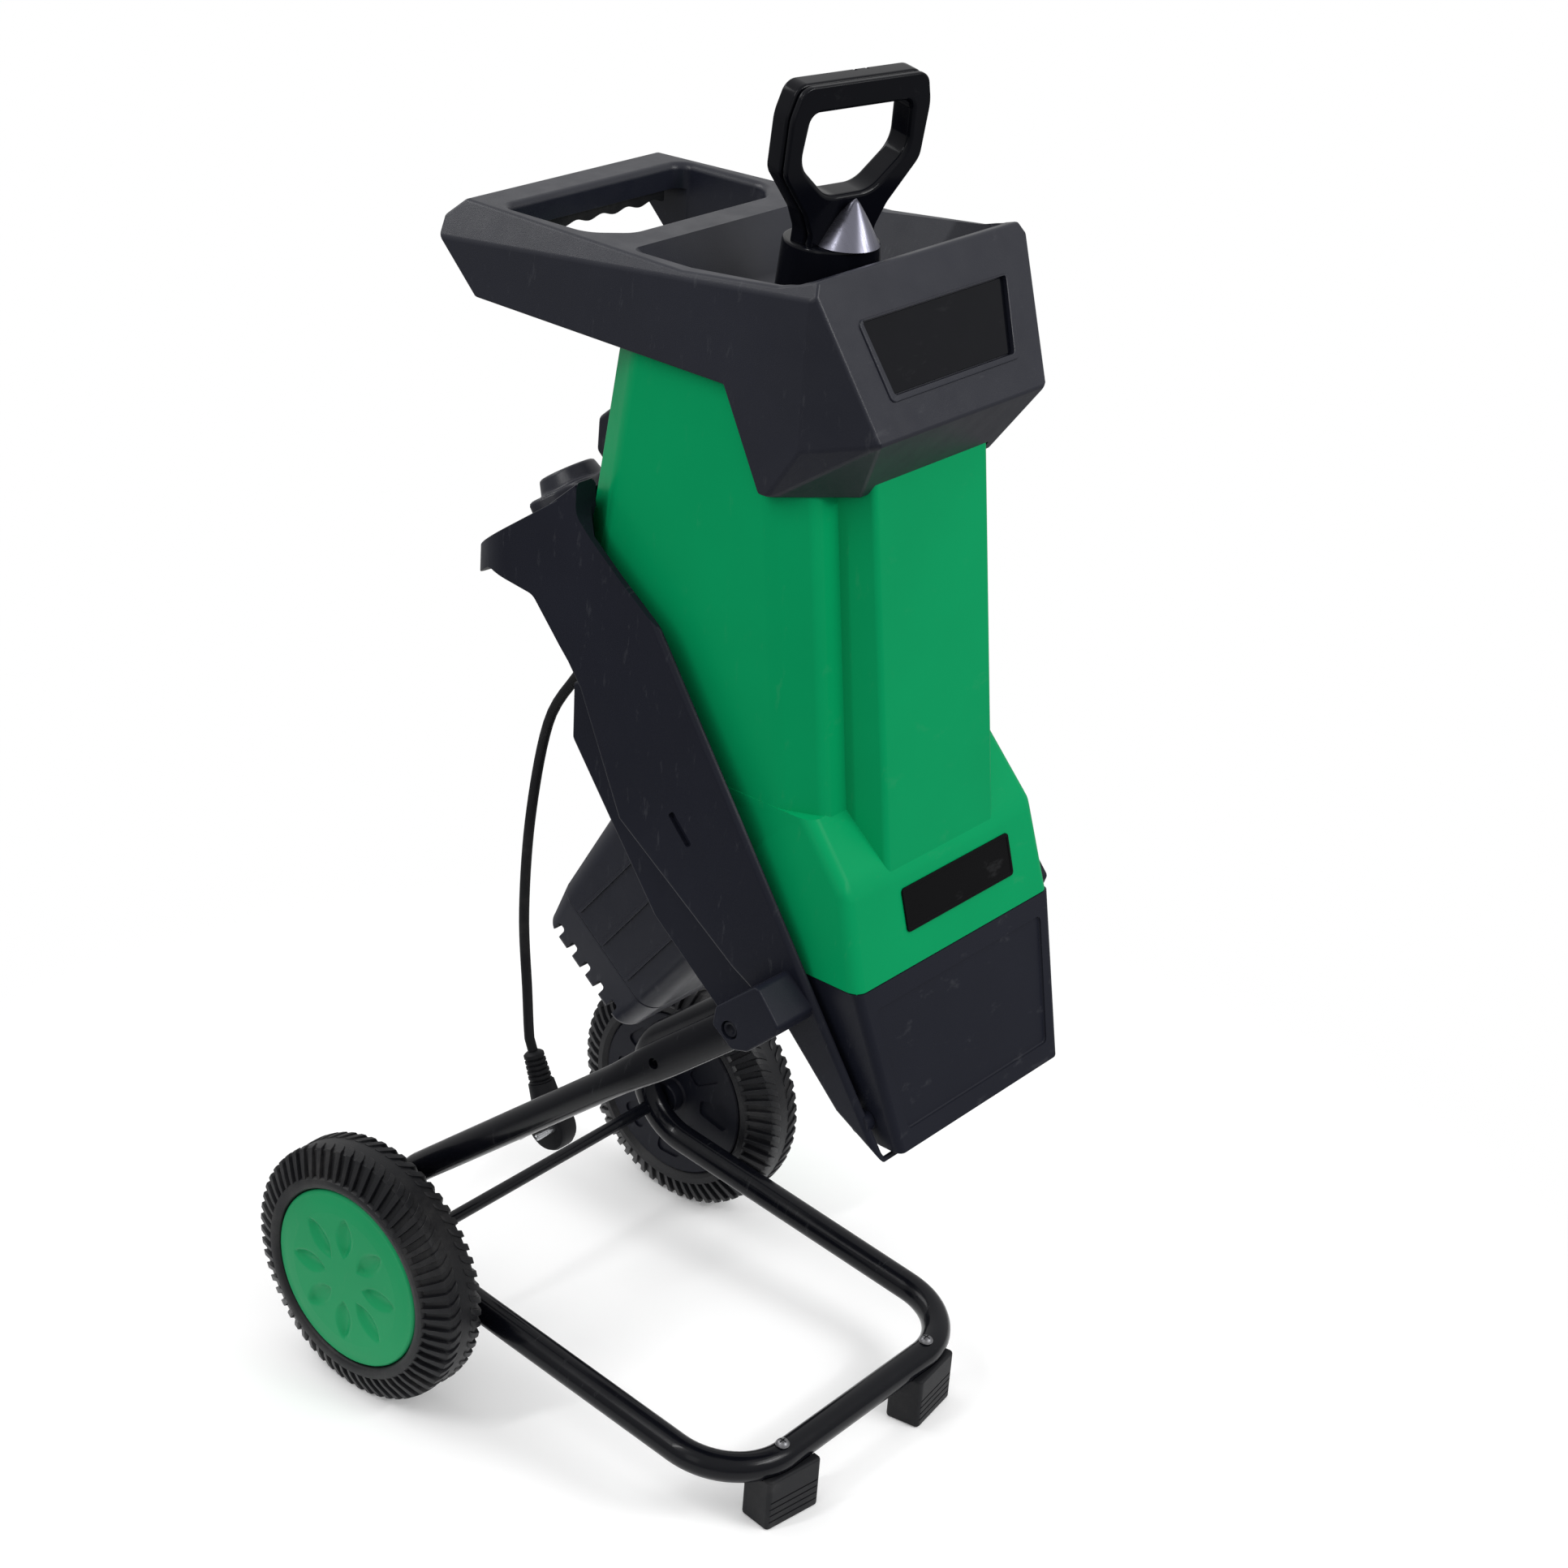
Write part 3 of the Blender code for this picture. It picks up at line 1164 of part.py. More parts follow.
def make_plunger(hopper):
    place = Matrix.Translation((0, PLUNGER_Y, 0)) @ Matrix.Rotation(GRIP_TURN, 4, "Z")
    empty = axis_empty("plunger_axis", place, hopper)
    head_low = FUNNEL_FLOOR + GAP
    body = turned("plunger_body", [
        (0, PLUNGER_HEAD_TOP), (PLUNGER_TOP_RADIUS - 0.001, PLUNGER_HEAD_TOP),
        (PLUNGER_TOP_RADIUS, PLUNGER_HEAD_TOP - 0.001), (PLUNGER_HEAD_RADIUS, head_low),
        (PLUNGER_RADIUS, head_low), (PLUNGER_RADIUS, PLUNGER_BOTTOM + 0.004),
        (PLUNGER_RADIUS - 0.004, PLUNGER_BOTTOM), (0, PLUNGER_BOTTOM),
    ], "black plastic", place, MEDIUM)
    seat = [(Vector((0, 0, PLUNGER_HEAD_TOP + GAP)), Vector((0, 0, -1)))]
    lean = (place @ Matrix.Translation((0, 0, PLUNGER_HEAD_TOP)) @ Matrix.Rotation(GRIP_LEAN, 4, "X"))
    wide, top = GRIP_HALF_WIDTH, GRIP_HEIGHT
    outline = rounded([
        (-wide + 0.0060, top, 0.010), (-wide, top - 0.020, 0.030), (-wide + 0.001, 0.0500, 0.014),
        (-0.0335, 0.0225, 0.020), (-0.0265, 0.0080, 0.010), (-0.0265, -0.006), (0.0265, -0.006),
        (0.0265, 0.0080, 0.010), (0.0335, 0.0225, 0.020), (wide - 0.001, 0.0500, 0.014),
        (wide, top - 0.020, 0.030), (wide - 0.0060, top, 0.010),
    ])
    hole = rounded([
        (-0.0345, 0.0870, 0.006), (-0.0425, 0.0540, 0.010), (-0.0220, 0.0345, 0.014),
        (0.0220, 0.0345, 0.014), (0.0425, 0.0540, 0.010), (0.0345, 0.0870, 0.006),
    ])
    half = GRIP_THICKNESS / 2
    grip = trim(settled(flat("plunger_handle", [outline, hole], -half, half, "gloss black",
                             lean @ UPRIGHT)), seat)
    cone_place = lean @ Matrix.Translation((0, -CONE_OFFSET, 0))
    base = CONE_RADIUS * (1 + 0.010 / CONE_HEIGHT)
    cut(grip, cylinder("cone notch", base + GAP, -0.010, CONE_HEIGHT + 0.001, place=cone_place, top=0.0008))
    cone = trim(settled(cylinder("plunger_cone", base, -0.010, CONE_HEIGHT, "satin grey", cone_place,
                                 top=0.0004)), seat)
    hang(empty, body, grip, cone)


# Switch box and buttons

def make_switch():
    back = SWITCH_BACK
    outline = rounded([
        (SWITCH_FRONT, 0.556), (SWITCH_FRONT, SWITCH_TOP), (back, SWITCH_TOP, 0.006), (back, 0.5747, 0.002),
        (0.075, 0.556, 0.002),
    ])
    thing = side_prism("switch_box", outline, SWITCH_LEFT, SWITCH_RIGHT, "black plastic")
    wall = SWITCH_WALL
    hollow = [
        (SWITCH_FRONT - THROUGH, 0.556 + wall + 0.002), (SWITCH_FRONT - THROUGH, SWITCH_TOP - wall),
        (back - wall, SWITCH_TOP - wall), (back - wall, 0.5747 + wall), (0.072, 0.556 + wall + 0.002),
    ]
    cut(thing, side_prism("switch hollow", hollow, SWITCH_LEFT + wall, SWITCH_RIGHT - wall))
    places = (
        ("start_button", -0.014, BUTTON_Z, BUTTON_RADIUS, "green plastic"),
        ("stop_button", 0.012, BUTTON_Z, BUTTON_RADIUS, "red plastic"),
        ("reset_button", 0.032, BUTTON_Z, RESET_RADIUS, "black plastic"),
    )
    for name, x, z, radius, finish in places:
        place = Matrix.Translation((x, back, z)) @ Matrix.Rotation(-math.pi / 2, 4, "X")
        cut(thing, cylinder("button bore", radius + GAP, -0.02, 0.02, place=place, segments=24))
        inner = -wall - GAP
        turned(name, [
            (0, BUTTON_TRAVEL + 0.001), (radius - 0.001, BUTTON_TRAVEL + 0.001), (radius, BUTTON_TRAVEL),
            (radius, inner), (radius + 0.0015, inner), (radius + 0.0015, inner - 0.002), (0, inner - 0.002),
        ], finish, place, 24)
    gland_place = Matrix.Translation((CORD_X, *GLAND_POINT)) @ Matrix.Rotation(GLAND_TILT, 4, "X")
    cut(thing, cylinder("gland bore", CORD_RADIUS + GAP, -0.02, 0.002, place=gland_place, segments=COARSE))
    turned("cord_gland", [
        (0, GLAND_LENGTH), (CORD_RADIUS + 0.0012, GLAND_LENGTH), (CORD_RADIUS + 0.0032, 0.003),
        (CORD_RADIUS + 0.0032, GAP), (0, GAP),
    ], "rubber", gland_place, 24)
    return gland_place


# Lead: cord, strain relief and plug

def make_lead(gland_place):
    start = gland_place @ Vector((0, 0, GLAND_LENGTH + GAP))
    start_on = gland_place @ Vector((0, 0, GLAND_LENGTH + GAP + 0.010))
    plug_place = Matrix.Translation((CORD_X, *CORD_END)) @ Matrix.Rotation(PLUG_TILT, 4, "X")
    end_on = plug_place @ Vector((0, 0, -GAP - 0.010))
    end = plug_place @ Vector((0, 0, -GAP))
    route = [start, start_on] + [(CORD_X, y, z) for y, z in CORD_ROUTE] + [end_on, end]
    points = smooth_path(route, 2.5 * 2 * CORD_RADIUS)
    mesh = tube_mesh("cord", points, CORD_RADIUS, 3)
    finish_object("cord", mesh, WORLD, "rubber")
    turned("plug_strain_relief", [
        (0, RELIEF_LENGTH), (0.0085, RELIEF_LENGTH), (0.0078, 0.006), (0.0090, 0.0055), (0.0090, 0.0015),
        (0.0070, 0.0), (0, 0.0),
    ], "rubber", plug_place, 24)
    low = RELIEF_LENGTH + GAP
    plug = cylinder("plug", 0.0100, low, low + PLUG_REACH, "rubber", plug_place, top=0.0130)
    centre = plug_place @ Vector((0, 0, low + PLUG_REACH))
    side_on = Matrix.Translation(centre) @ Matrix.Rotation(-math.pi / 2, 4, "Y")
    half, radius = PLUG_THICKNESS / 2, PLUG_RADIUS
    join(plug, turned("plug body", [
        (0, half), (radius - 0.003, half), (radius, half - 0.003), (radius, -half + 0.005),
        (radius - 0.005, -half), (0, -half),
    ], None, side_on, MEDIUM))
    apart = (plug_place.to_3x3() @ Vector((0, 1, 0))) * 0.0095
    for side in (-1, 1):
        pin = Matrix.Translation(centre + apart * side) @ Matrix.Rotation(-math.pi / 2, 4, "Y")
        join(plug, cylinder("plug pin", 0.0024, half - 0.002, half + 0.019, place=pin, segments=COARSE))


def main():
    tube_points = make_stand()
    make_feet(tube_points)
    hub_end = make_axle()
    for side, word in ((-1, "left"), (1, "right")):
        make_wheel(side, word, hub_end)
    make_base()
    make_leg_bolts()
    make_lock()
    floor = make_motor_casing()
    make_rotor(make_motor_insides(floor))
    hopper = axis_empty("hopper_hinge", frame_at(*HINGE))
    make_housing(hopper)
    make_label(hopper)
    make_collar(hopper)
    make_chute(hopper)
    make_discharge_box(hopper)
    make_hinge_pins()
    make_latch(hopper)
    make_plunger(hopper)
    make_lead(make_switch())


main()
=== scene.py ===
"""Electric wood chipper: the looks of the packed model, piece by piece.

Lengths are in metres. X runs across the machine, the front is towards -Y, and the ground is at Z 0.
Outlines are lists of (y, z) seen from the side or (x, y) seen from above, with a corner's radius
after them where it is rounded.
"""
import math

import bmesh
import bpy
from bpy.props import FloatProperty, FloatVectorProperty, IntProperty, PointerProperty
from mathutils import Matrix, Vector


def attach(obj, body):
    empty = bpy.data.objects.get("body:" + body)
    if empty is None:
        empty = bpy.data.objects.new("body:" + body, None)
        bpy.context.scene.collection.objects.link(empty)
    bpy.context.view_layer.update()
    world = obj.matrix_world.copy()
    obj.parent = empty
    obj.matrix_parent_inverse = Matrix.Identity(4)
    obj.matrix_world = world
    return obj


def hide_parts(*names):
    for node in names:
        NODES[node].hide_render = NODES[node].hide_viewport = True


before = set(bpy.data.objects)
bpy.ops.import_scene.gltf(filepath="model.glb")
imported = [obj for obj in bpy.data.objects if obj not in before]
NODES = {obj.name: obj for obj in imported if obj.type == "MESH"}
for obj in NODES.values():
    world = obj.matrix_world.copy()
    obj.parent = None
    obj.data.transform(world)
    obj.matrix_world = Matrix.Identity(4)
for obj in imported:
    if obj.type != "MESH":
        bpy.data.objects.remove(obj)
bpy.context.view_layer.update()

bl_info = {
    "name": "Electric wood chipper",
    "version": (1, 0, 0),
    "blender": (4, 5, 0),
    "location": "3D View > Sidebar > Chipper",
    "description": "Builds a wheeled electric wood chipper on its packed frame",
    "category": "Object",
}

GAP = 0.0003  # left between pieces that touch
WHITE = (1.0, 1.0, 1.0, 1.0)
SIDES = ((-1, "left"), (1, "right"))

# Stand and wheels, as (y, z) where there are two values
AXLE = (0.152, 0.100)
WHEEL_X = 0.180
RIM_DEPTH = 0.030
SEAT_DEPTH = 0.0045
ARM_X = 0.135
ARM_END = (-0.1547, 0.4243)
HEEL = (0.232, 0.095)
TOE = (-0.165, 0.047)
LEG_BOLT = (-0.1425, 0.4150)
SPARE_HOLE = (-0.073, 0.355)
FOOT_X = 0.0818
FOOT_SCREW_X = 0.0844

# Base and motor
FLANGE_TIP = (-0.2358, 0.3328)
FLANGE_BEND = (-0.1639, 0.4716)
FLANGE_HEAD = (0.018, 0.733)
HINGE = (-0.2170, 0.3560)
SLIT_CENTRE = (-0.0668, 0.5208)
SLIT_RUN = (0.694, 0.720)
SOCKET_FACE_X = 0.150
BASE_HALF_WIDTH = 0.120
TIP_HALF_WIDTH = 0.100
BASE_WALL = 0.0045
LOWER_HALF_WIDTH = 0.0935
MOTOR_LOW = -0.0580
MOTOR_HIGH = 0.0650
MOTOR_LENGTH = 0.083
MOTOR_TAPER = 1.215
CAP_LENGTH = 0.0365

# Hopper, plunger and lead
HOPPER_TOP = 0.838
SKIRT_BOTTOM = 0.4502
SKIRT_HEAD = (-0.191, 0.515)
SKIRT_FOOT = (-0.2105, 0.4504)
BOX_BOTTOM = 0.3384
BOX_HEAD = (-0.2108, 0.4500)
BOX_FOOT = (-0.2445, BOX_BOTTOM)
FUNNEL_FLOOR = 0.8447
RIM_EDGE = (-0.1315, 0.9009)
COLLAR_NOSE = (-0.176, 0.807)
COLLAR_HALF_WIDTH = 0.1085
HANDLE_OPENING = 0.0865
BAR_BOTTOM = 0.8640
PLUNGER_Y = -0.0613
HEAD_TOP = 0.892
CORD_X = -0.030


def turned_frame(y, z, tilt=0.0, x=0.0):
    return Matrix.Translation((x, y, z)) @ Matrix.Rotation(tilt, 4, "X")


WORLD = Matrix.Identity(4)
UNIT = turned_frame(-0.016, 0.440, math.radians(38))
SHELF = turned_frame(0.1355, 0.6526, -math.radians(35.86))
SIDEWAYS = Matrix(((0, 0, 1, 0), (1, 0, 0, 0), (0, 1, 0, 0), (0, 0, 0, 1)))
UPRIGHT = Matrix(((1, 0, 0, 0), (0, 0, -1, 0), (0, 1, 0, 0), (0, 0, 0, 1)))


def turned(angle):
    return Matrix.Rotation(angle, 4, "Z")


def across_at(y, z, x=0.0):
    """A frame whose Z runs across the machine, along +X."""
    return Matrix.Translation((x, y, z)) @ SIDEWAYS


# Settings that a user would change

class ChipperSettings(bpy.types.PropertyGroup):
    lens: FloatProperty(name="Lens", description="Focal length on a 36 mm sensor", default=71.96,
                        min=20.0, unit="CAMERA")
    wheel_radius: FloatProperty(name="Wheel radius", description="Radius of the tyre's tread",
                                default=0.100, unit="LENGTH")
    wheel_width: FloatProperty(name="Wheel width", description="Width of the tyre", default=0.050,
                               unit="LENGTH")
    tread_bars: IntProperty(name="Tread bars", description="Bars around each side of a tyre",
                            default=60, min=20, max=90)
    tube_radius: FloatProperty(name="Tube radius", description="Radius of the stand's tube",
                               default=0.011, unit="LENGTH")
    cord_radius: FloatProperty(name="Cord radius", description="Radius of the power lead",
                               default=0.0038, unit="LENGTH")
    edge: FloatProperty(name="Edge radius", description="Rounding of the large mouldings' edges",
                        default=0.004, unit="LENGTH")
    green: FloatVectorProperty(name="Green", description="Colour of the green mouldings",
                               subtype="COLOR", default=(0.0015, 0.300, 0.104))
    black: FloatVectorProperty(name="Black", description="Colour of the black mouldings",
                               subtype="COLOR", default=(0.0112, 0.0124, 0.0205))
    gloss: FloatVectorProperty(name="Gloss black", description="Colour of the glossy parts",
                               subtype="COLOR", default=(0.0026, 0.0029, 0.0048))
    rubber: FloatVectorProperty(name="Rubber", description="Colour of tyres, feet and lead",
                                subtype="COLOR", default=(0.0065, 0.0068, 0.0085))
    steel: FloatVectorProperty(name="Steel", description="Colour of bare steel", subtype="COLOR",
                               default=(0.50, 0.51, 0.53))
    light: FloatProperty(name="Light", description="Strength of the surrounding studio light",
                         default=0.60, min=0.0)


def settings():
    return bpy.context.scene.chipper


# Materials

def node(tree, kind, **values):
    made = tree.nodes.new(kind)
    for key, value in values.items():
        setattr(made, key, value)
    return made


def feed(tree, socket, value):
    """Links a socket to another one, or gives it a fixed value."""
    if isinstance(value, bpy.types.NodeSocket):
        tree.links.new(value, socket)
    else:
        socket.default_value = value


def effect_group(name, grey, **levels):
    """A node group with a colour and levels as inputs, its inputs' sockets and its end node."""
    group = bpy.data.node_groups.new(name, "ShaderNodeTree")
    inputs = [("Colour", "NodeSocketColor", (grey, grey, grey, 1.0))]
    inputs += [(label, "NodeSocketFloat", value) for label, value in levels.items()]
    for label, kind, value in inputs:
        socket = group.interface.new_socket(label, in_out="INPUT", socket_type=kind)
        socket.default_value = value
    for label, kind in (("Colour", "NodeSocketColor"), ("Roughness", "NodeSocketFloat"),
                        ("Height", "NodeSocketFloat")):
        group.interface.new_socket(label, in_out="OUTPUT", socket_type=kind)
    return group, group.nodes.new("NodeGroupInput").outputs, group.nodes.new("NodeGroupOutput")


def noise(tree, source, scale, detail=2.0, roughness=0.5, stretch=None):
    made = node(tree, "ShaderNodeTexNoise")
    made.inputs["Scale"].default_value = scale
    made.inputs["Detail"].default_value = detail
    made.inputs["Roughness"].default_value = roughness
    if stretch:
        mapping = node(tree, "ShaderNodeMapping")
        mapping.inputs["Scale"].default_value = stretch
        tree.links.new(source, mapping.inputs["Vector"])
        source = mapping.outputs["Vector"]
    tree.links.new(source, made.inputs["Vector"])
    return made.outputs["Fac"]


def ranged(tree, source, from_low, from_high, to_low, to_high, smooth=False):
    made = node(tree, "ShaderNodeMapRange")
    if smooth:
        made.interpolation_type = "SMOOTHSTEP"
    for label, value in (("From Min", from_low), ("From Max", from_high), ("To Min", to_low),
                         ("To Max", to_high), ("Value", source)):
        feed(tree, made.inputs[label], value)
    return made.outputs["Result"]


def maths(tree, operation, a, b):
    made = node(tree, "ShaderNodeMath", operation=operation)
    feed(tree, made.inputs[0], a)
    feed(tree, made.inputs[1], b)
    return made.outputs[0]


def times(tree, a, b):
    return maths(tree, "MULTIPLY", a, b)


def plus(tree, a, b):
    return maths(tree, "ADD", a, b)


def mixed(tree, factor, a, b, blend="MIX"):
    """Mixes two colours. They are the node's sockets 6 and 7, and the result is its output 2."""
    made = node(tree, "ShaderNodeMix", data_type="RGBA", blend_type=blend)
    for index, value in ((0, factor), (6, a), (7, b)):
        feed(tree, made.inputs[index], value)
    return made.outputs[2]


def finished(group, end, colour, roughness, height):
    for label, source in (("Colour", colour), ("Roughness", roughness), ("Height", height)):
        group.links.new(source, end.inputs[label])
    return group


def moulded_group():
    """Moulded plastic: fine grain, faint flow clouds, thin scuffs and a little dust."""
    group, levels, end = effect_group("moulded surface", 0.5, Roughness=0.4, Clouding=0.10, Scuffs=0.25,
                                      Grain=0.4)
    spot = node(group, "ShaderNodeTexCoord").outputs["Object"]
    clouds = noise(group, spot, 7.0, 3.0, 0.55)
    fine = noise(group, spot, 46.0, 3.0, 0.6)
    scratch = noise(group, spot, 30.0, 4.0, 0.7, stretch=(1.0, 5.0, 1.4))
    grain = noise(group, spot, 1500.0, 1.0, 0.5)
    scuffed = times(group, ranged(group, scratch, 0.60, 0.72, 0.0, 1.0, smooth=True), levels["Scuffs"])
    shade = times(group, ranged(group, clouds, 0.3, 0.7, -1.0, 1.0), levels["Clouding"])
    shade = plus(group, shade, 1.0)
    tint = node(group, "ShaderNodeCombineColor")
    for socket in tint.inputs:
        group.links.new(shade, socket)
    colour = mixed(group, 1.0, levels["Colour"], tint.outputs["Color"], "MULTIPLY")
    colour = mixed(group, times(group, scuffed, 0.16), colour, (0.45, 0.46, 0.48, 1.0))
    rough = plus(group, levels["Roughness"], ranged(group, fine, 0.3, 0.7, -0.05, 0.05))
    rough = plus(group, rough, times(group, scuffed, 0.25))
    height = maths(group, "SUBTRACT", times(group, grain, levels["Grain"]), times(group, scuffed, 0.35))
    return finished(group, end, colour, rough, height)


def metal_group():
    """Worked steel: drawn lines along one direction, patches of tarnish and fine pits."""
    group, levels, end = effect_group("worked metal", 0.5, Roughness=0.3, Tarnish=0.3, Lines=0.5)
    spot = node(group, "ShaderNodeTexCoord").outputs["Object"]
    lines = noise(group, spot, 60.0, 2.0, 0.5, stretch=(18.0, 1.0, 1.0))
    patches = noise(group, spot, 22.0, 5.0, 0.65)
    pits = noise(group, spot, 420.0, 2.0, 0.5)
    dulled = times(group, ranged(group, patches, 0.48, 0.75, 0.0, 1.0, smooth=True), levels["Tarnish"])
    colour = mixed(group, dulled, levels["Colour"], (0.085, 0.075, 0.066, 1.0))
    rough = plus(group, levels["Roughness"], times(group, dulled, 0.35))
    rough = plus(group, rough, ranged(group, lines, 0.3, 0.7, -0.05, 0.07))
    height = plus(group, times(group, lines, levels["Lines"]), times(group, pits, 0.4))
    return finished(group, end, colour, rough, height)


def rubber_group():
    """Rubber: matt bloom in patches, dust and a fine pebbled skin."""
    group, levels, end = effect_group("rubber skin", 0.02, Roughness=0.6, Dust=0.25)
    spot = node(group, "ShaderNodeTexCoord").outputs["Object"]
    bloom = noise(group, spot, 18.0, 4.0, 0.6)
    dust = noise(group, spot, 160.0, 3.0, 0.7)
    pebble = node(group, "ShaderNodeTexVoronoi")
    pebble.inputs["Scale"].default_value = 900.0
    group.links.new(spot, pebble.inputs["Vector"])
    dusty = times(group, ranged(group, bloom, 0.45, 0.75, 0.0, 1.0, smooth=True),
                  ranged(group, dust, 0.35, 0.65, 0.4, 1.0))
    dusty = times(group, dusty, levels["Dust"])
    colour = mixed(group, dusty, levels["Colour"], (0.11, 0.105, 0.10, 1.0))
    rough = plus(group, levels["Roughness"], times(group, dusty, 0.3))
    height = plus(group, times(group, pebble.outputs["Distance"], 0.6), times(group, dust, 0.3))
    return finished(group, end, colour, rough, height)


EFFECTS = {}
MATERIALS = {}


def material(name, effect, colour, bump, bump_depth, levels, specular=0.5, metallic=0.0, coat=0.0,
             coat_rough=0.1):
    """Makes a shared material. Its levels are for the effect's inputs that follow the colour."""
    made = bpy.data.materials.new(name)
    made.use_nodes = True
    tree = made.node_tree
    shader = tree.nodes["Principled BSDF"]
    group = node(tree, "ShaderNodeGroup", node_tree=EFFECTS[effect])
    for socket, value in zip(group.inputs, ((*colour, 1.0), *levels)):
        socket.default_value = value
    relief = node(tree, "ShaderNodeBump")
    for socket, value in (
            (relief.inputs["Strength"], bump), (relief.inputs["Distance"], bump_depth),
            (relief.inputs["Height"], group.outputs["Height"]),
            (shader.inputs["Base Color"], group.outputs["Colour"]),
            (shader.inputs["Roughness"], group.outputs["Roughness"]),
            (shader.inputs["Normal"], relief.outputs["Normal"]),
            (shader.inputs["Metallic"], metallic), (shader.inputs["Coat Weight"], coat),
            (shader.inputs["Coat Roughness"], coat_rough),
            (shader.inputs["Specular IOR Level"], specular)):
        feed(tree, socket, value)
    made.diffuse_color = (*colour, 1.0)
    MATERIALS[name] = made


def make_materials():
    s = settings()
    EFFECTS.update(moulded=moulded_group(), metal=metal_group(), rubber=rubber_group())
    black, gloss, rubber = tuple(s.black), tuple(s.gloss), tuple(s.rubber)
    # The base's copy of black is nine tenths as bright and less shiny: painted shade for the base and
    # discharge box, the lower parts that get less of the light from above
    shaded_black, plain_black = (tuple(c * share for c in black) for share in (0.9, 0.6))
    # Name, colour, the bump's strength and depth, (roughness, clouding, scuffs, grain), specular level
    for name, colour, bump, depth, levels, specular in (
            ("green plastic", tuple(s.green), 0.10, 0.0002, (0.33, 0.05, 0.10, 0.6), 0.05),
            ("cap green", (0.010, 0.270, 0.098), 0.10, 0.0002, (0.36, 0.06, 0.12, 0.6), 0.12),
            ("black plastic", black, 0.22, 0.0003, (0.34, 0.10, 0.16, 1.0), 0.34),
            ("shaded black plastic", shaded_black, 0.22, 0.0003, (0.38, 0.12, 0.20, 1.0), 0.14),
            ("plain black", plain_black, 0.2, 0.0003, (0.45, 0.1, 0.2, 1.0), 0.14),
            ("gloss plastic", gloss, 0.03, 0.0002, (0.14, 0.1, 0.06, 0.3), 0.14),
            ("label", (0.0040, 0.0040, 0.0045), 0.03, 0.0001, (0.30, 0.15, 0.15, 0.3), 0.05),
            ("red plastic", (0.50, 0.018, 0.012), 0.1, 0.0002, (0.34, 0.05, 0.2, 0.5), 0.5),
            ("fan plastic", (0.33, 0.32, 0.28), 0.2, 0.0002, (0.5, 0.1, 0.3, 0.8), 0.5)):
        material(name, "moulded", colour, bump, depth, levels, specular)
    material("paint", "moulded", gloss, 0.05, 0.0002, (0.22, 0.1, 0.15, 0.5), 0.14, coat=0.10,
             coat_rough=0.07)
    # The same for rubber, with (roughness, dust)
    for name, colour, bump, depth, levels, specular in (
            ("tyre rubber", rubber, 0.35, 0.0003, (0.42, 0.22), 0.25),
            ("rubber", rubber, 0.30, 0.0003, (0.55, 0.20), 0.2),
            ("carbon", (0.028, 0.028, 0.028), 0.2, 0.0002, (0.75, 0.1), 0.5)):
        material(name, "rubber", colour, bump, depth, levels, specular)
    # The same for metal, with (roughness, tarnish, lines) and how metallic it is
    for name, colour, bump, depth, levels, metallic in (
            ("steel", tuple(s.steel), 0.15, 0.0002, (0.28, 0.15, 0.6), 1.0),
            ("dark steel", (0.19, 0.19, 0.20), 0.2, 0.0002, (0.40, 0.35, 0.5), 1.0),
            ("satin grey", (0.17, 0.17, 0.21), 0.02, 0.0001, (0.30, 0.03, 0.15), 0.8),
            ("copper", (0.70, 0.33, 0.17), 0.2, 0.0002, (0.33, 0.3, 0.8), 1.0)):
        material(name, "metal", colour, bump, depth, levels, metallic=metallic)


# Shapes

def plane(a, b, c, inside):
    a, b, c = Vector(a), Vector(b), Vector(c)
    normal = (b - a).cross(c - a).normalized()
    if normal.dot(Vector(inside) - a) > 0:
        normal.negate()
    return a, normal


def both_sides(a, b, c, inside):
    flipped = [(-p[0], p[1], p[2]) for p in (a, b, c)]
    return [plane(a, b, c, inside), plane(*flipped, inside)]


def across(a, b, inside):
    return plane((0, *a), (0, *b), (1, *b), inside)


def level(z, up):
    """A level plane, with its outward normal up or down."""
    return Vector((0, 0, z)), Vector((0, 0, 1 if up else -1))


def rounded(corners, steps=8):
    """A closed outline whose corners (a, b, radius) are arcs. A radius of 0 leaves a corner sharp."""
    points = []
    for i, corner in enumerate(corners):
        here = Vector(corner[:2])
        radius = corner[2] if len(corner) > 2 else 0.0
        if radius == 0.0:
            points.append(tuple(here))
            continue
        before = (Vector(corners[i - 1][:2]) - here).normalized()
        after = (Vector(corners[(i + 1) % len(corners)][:2]) - here).normalized()
        half = before.angle(after) / 2
        reach = radius / math.tan(half)
        centre = here + (before + after).normalized() * radius / math.sin(half)
        start = here + before * reach - centre
        sweep = start.angle_signed(here + after * reach - centre)
        for k in range(steps + 1):
            points.append(tuple(centre + Matrix.Rotation(-sweep * k / steps, 2) @ start))
    return points


def rectangle(half_a, low_b, high_b, radius, steps=8):
    corners = ((-half_a, low_b), (half_a, low_b), (half_a, high_b), (-half_a, high_b))
    return rounded([(a, b, radius) for a, b in corners], steps)


def circle(radius, count, a=0.0, b=0.0):
    angles = [2 * math.pi * k / count for k in range(count)]
    return [(a + radius * math.cos(t), b + radius * math.sin(t)) for t in angles]


def between(low, high):
    """The two level planes that bound what stands between two heights."""
    return [level(high, True), level(low, False)]


def offset(planes, distance):
    """The planes moved outwards."""
    return [(point + normal * distance, normal) for point, normal in planes]


def symmetric(half):
    """An outline from the corners of its left half, followed by their mirror images."""
    return half + [(-a, *rest) for a, *rest in reversed(half)]


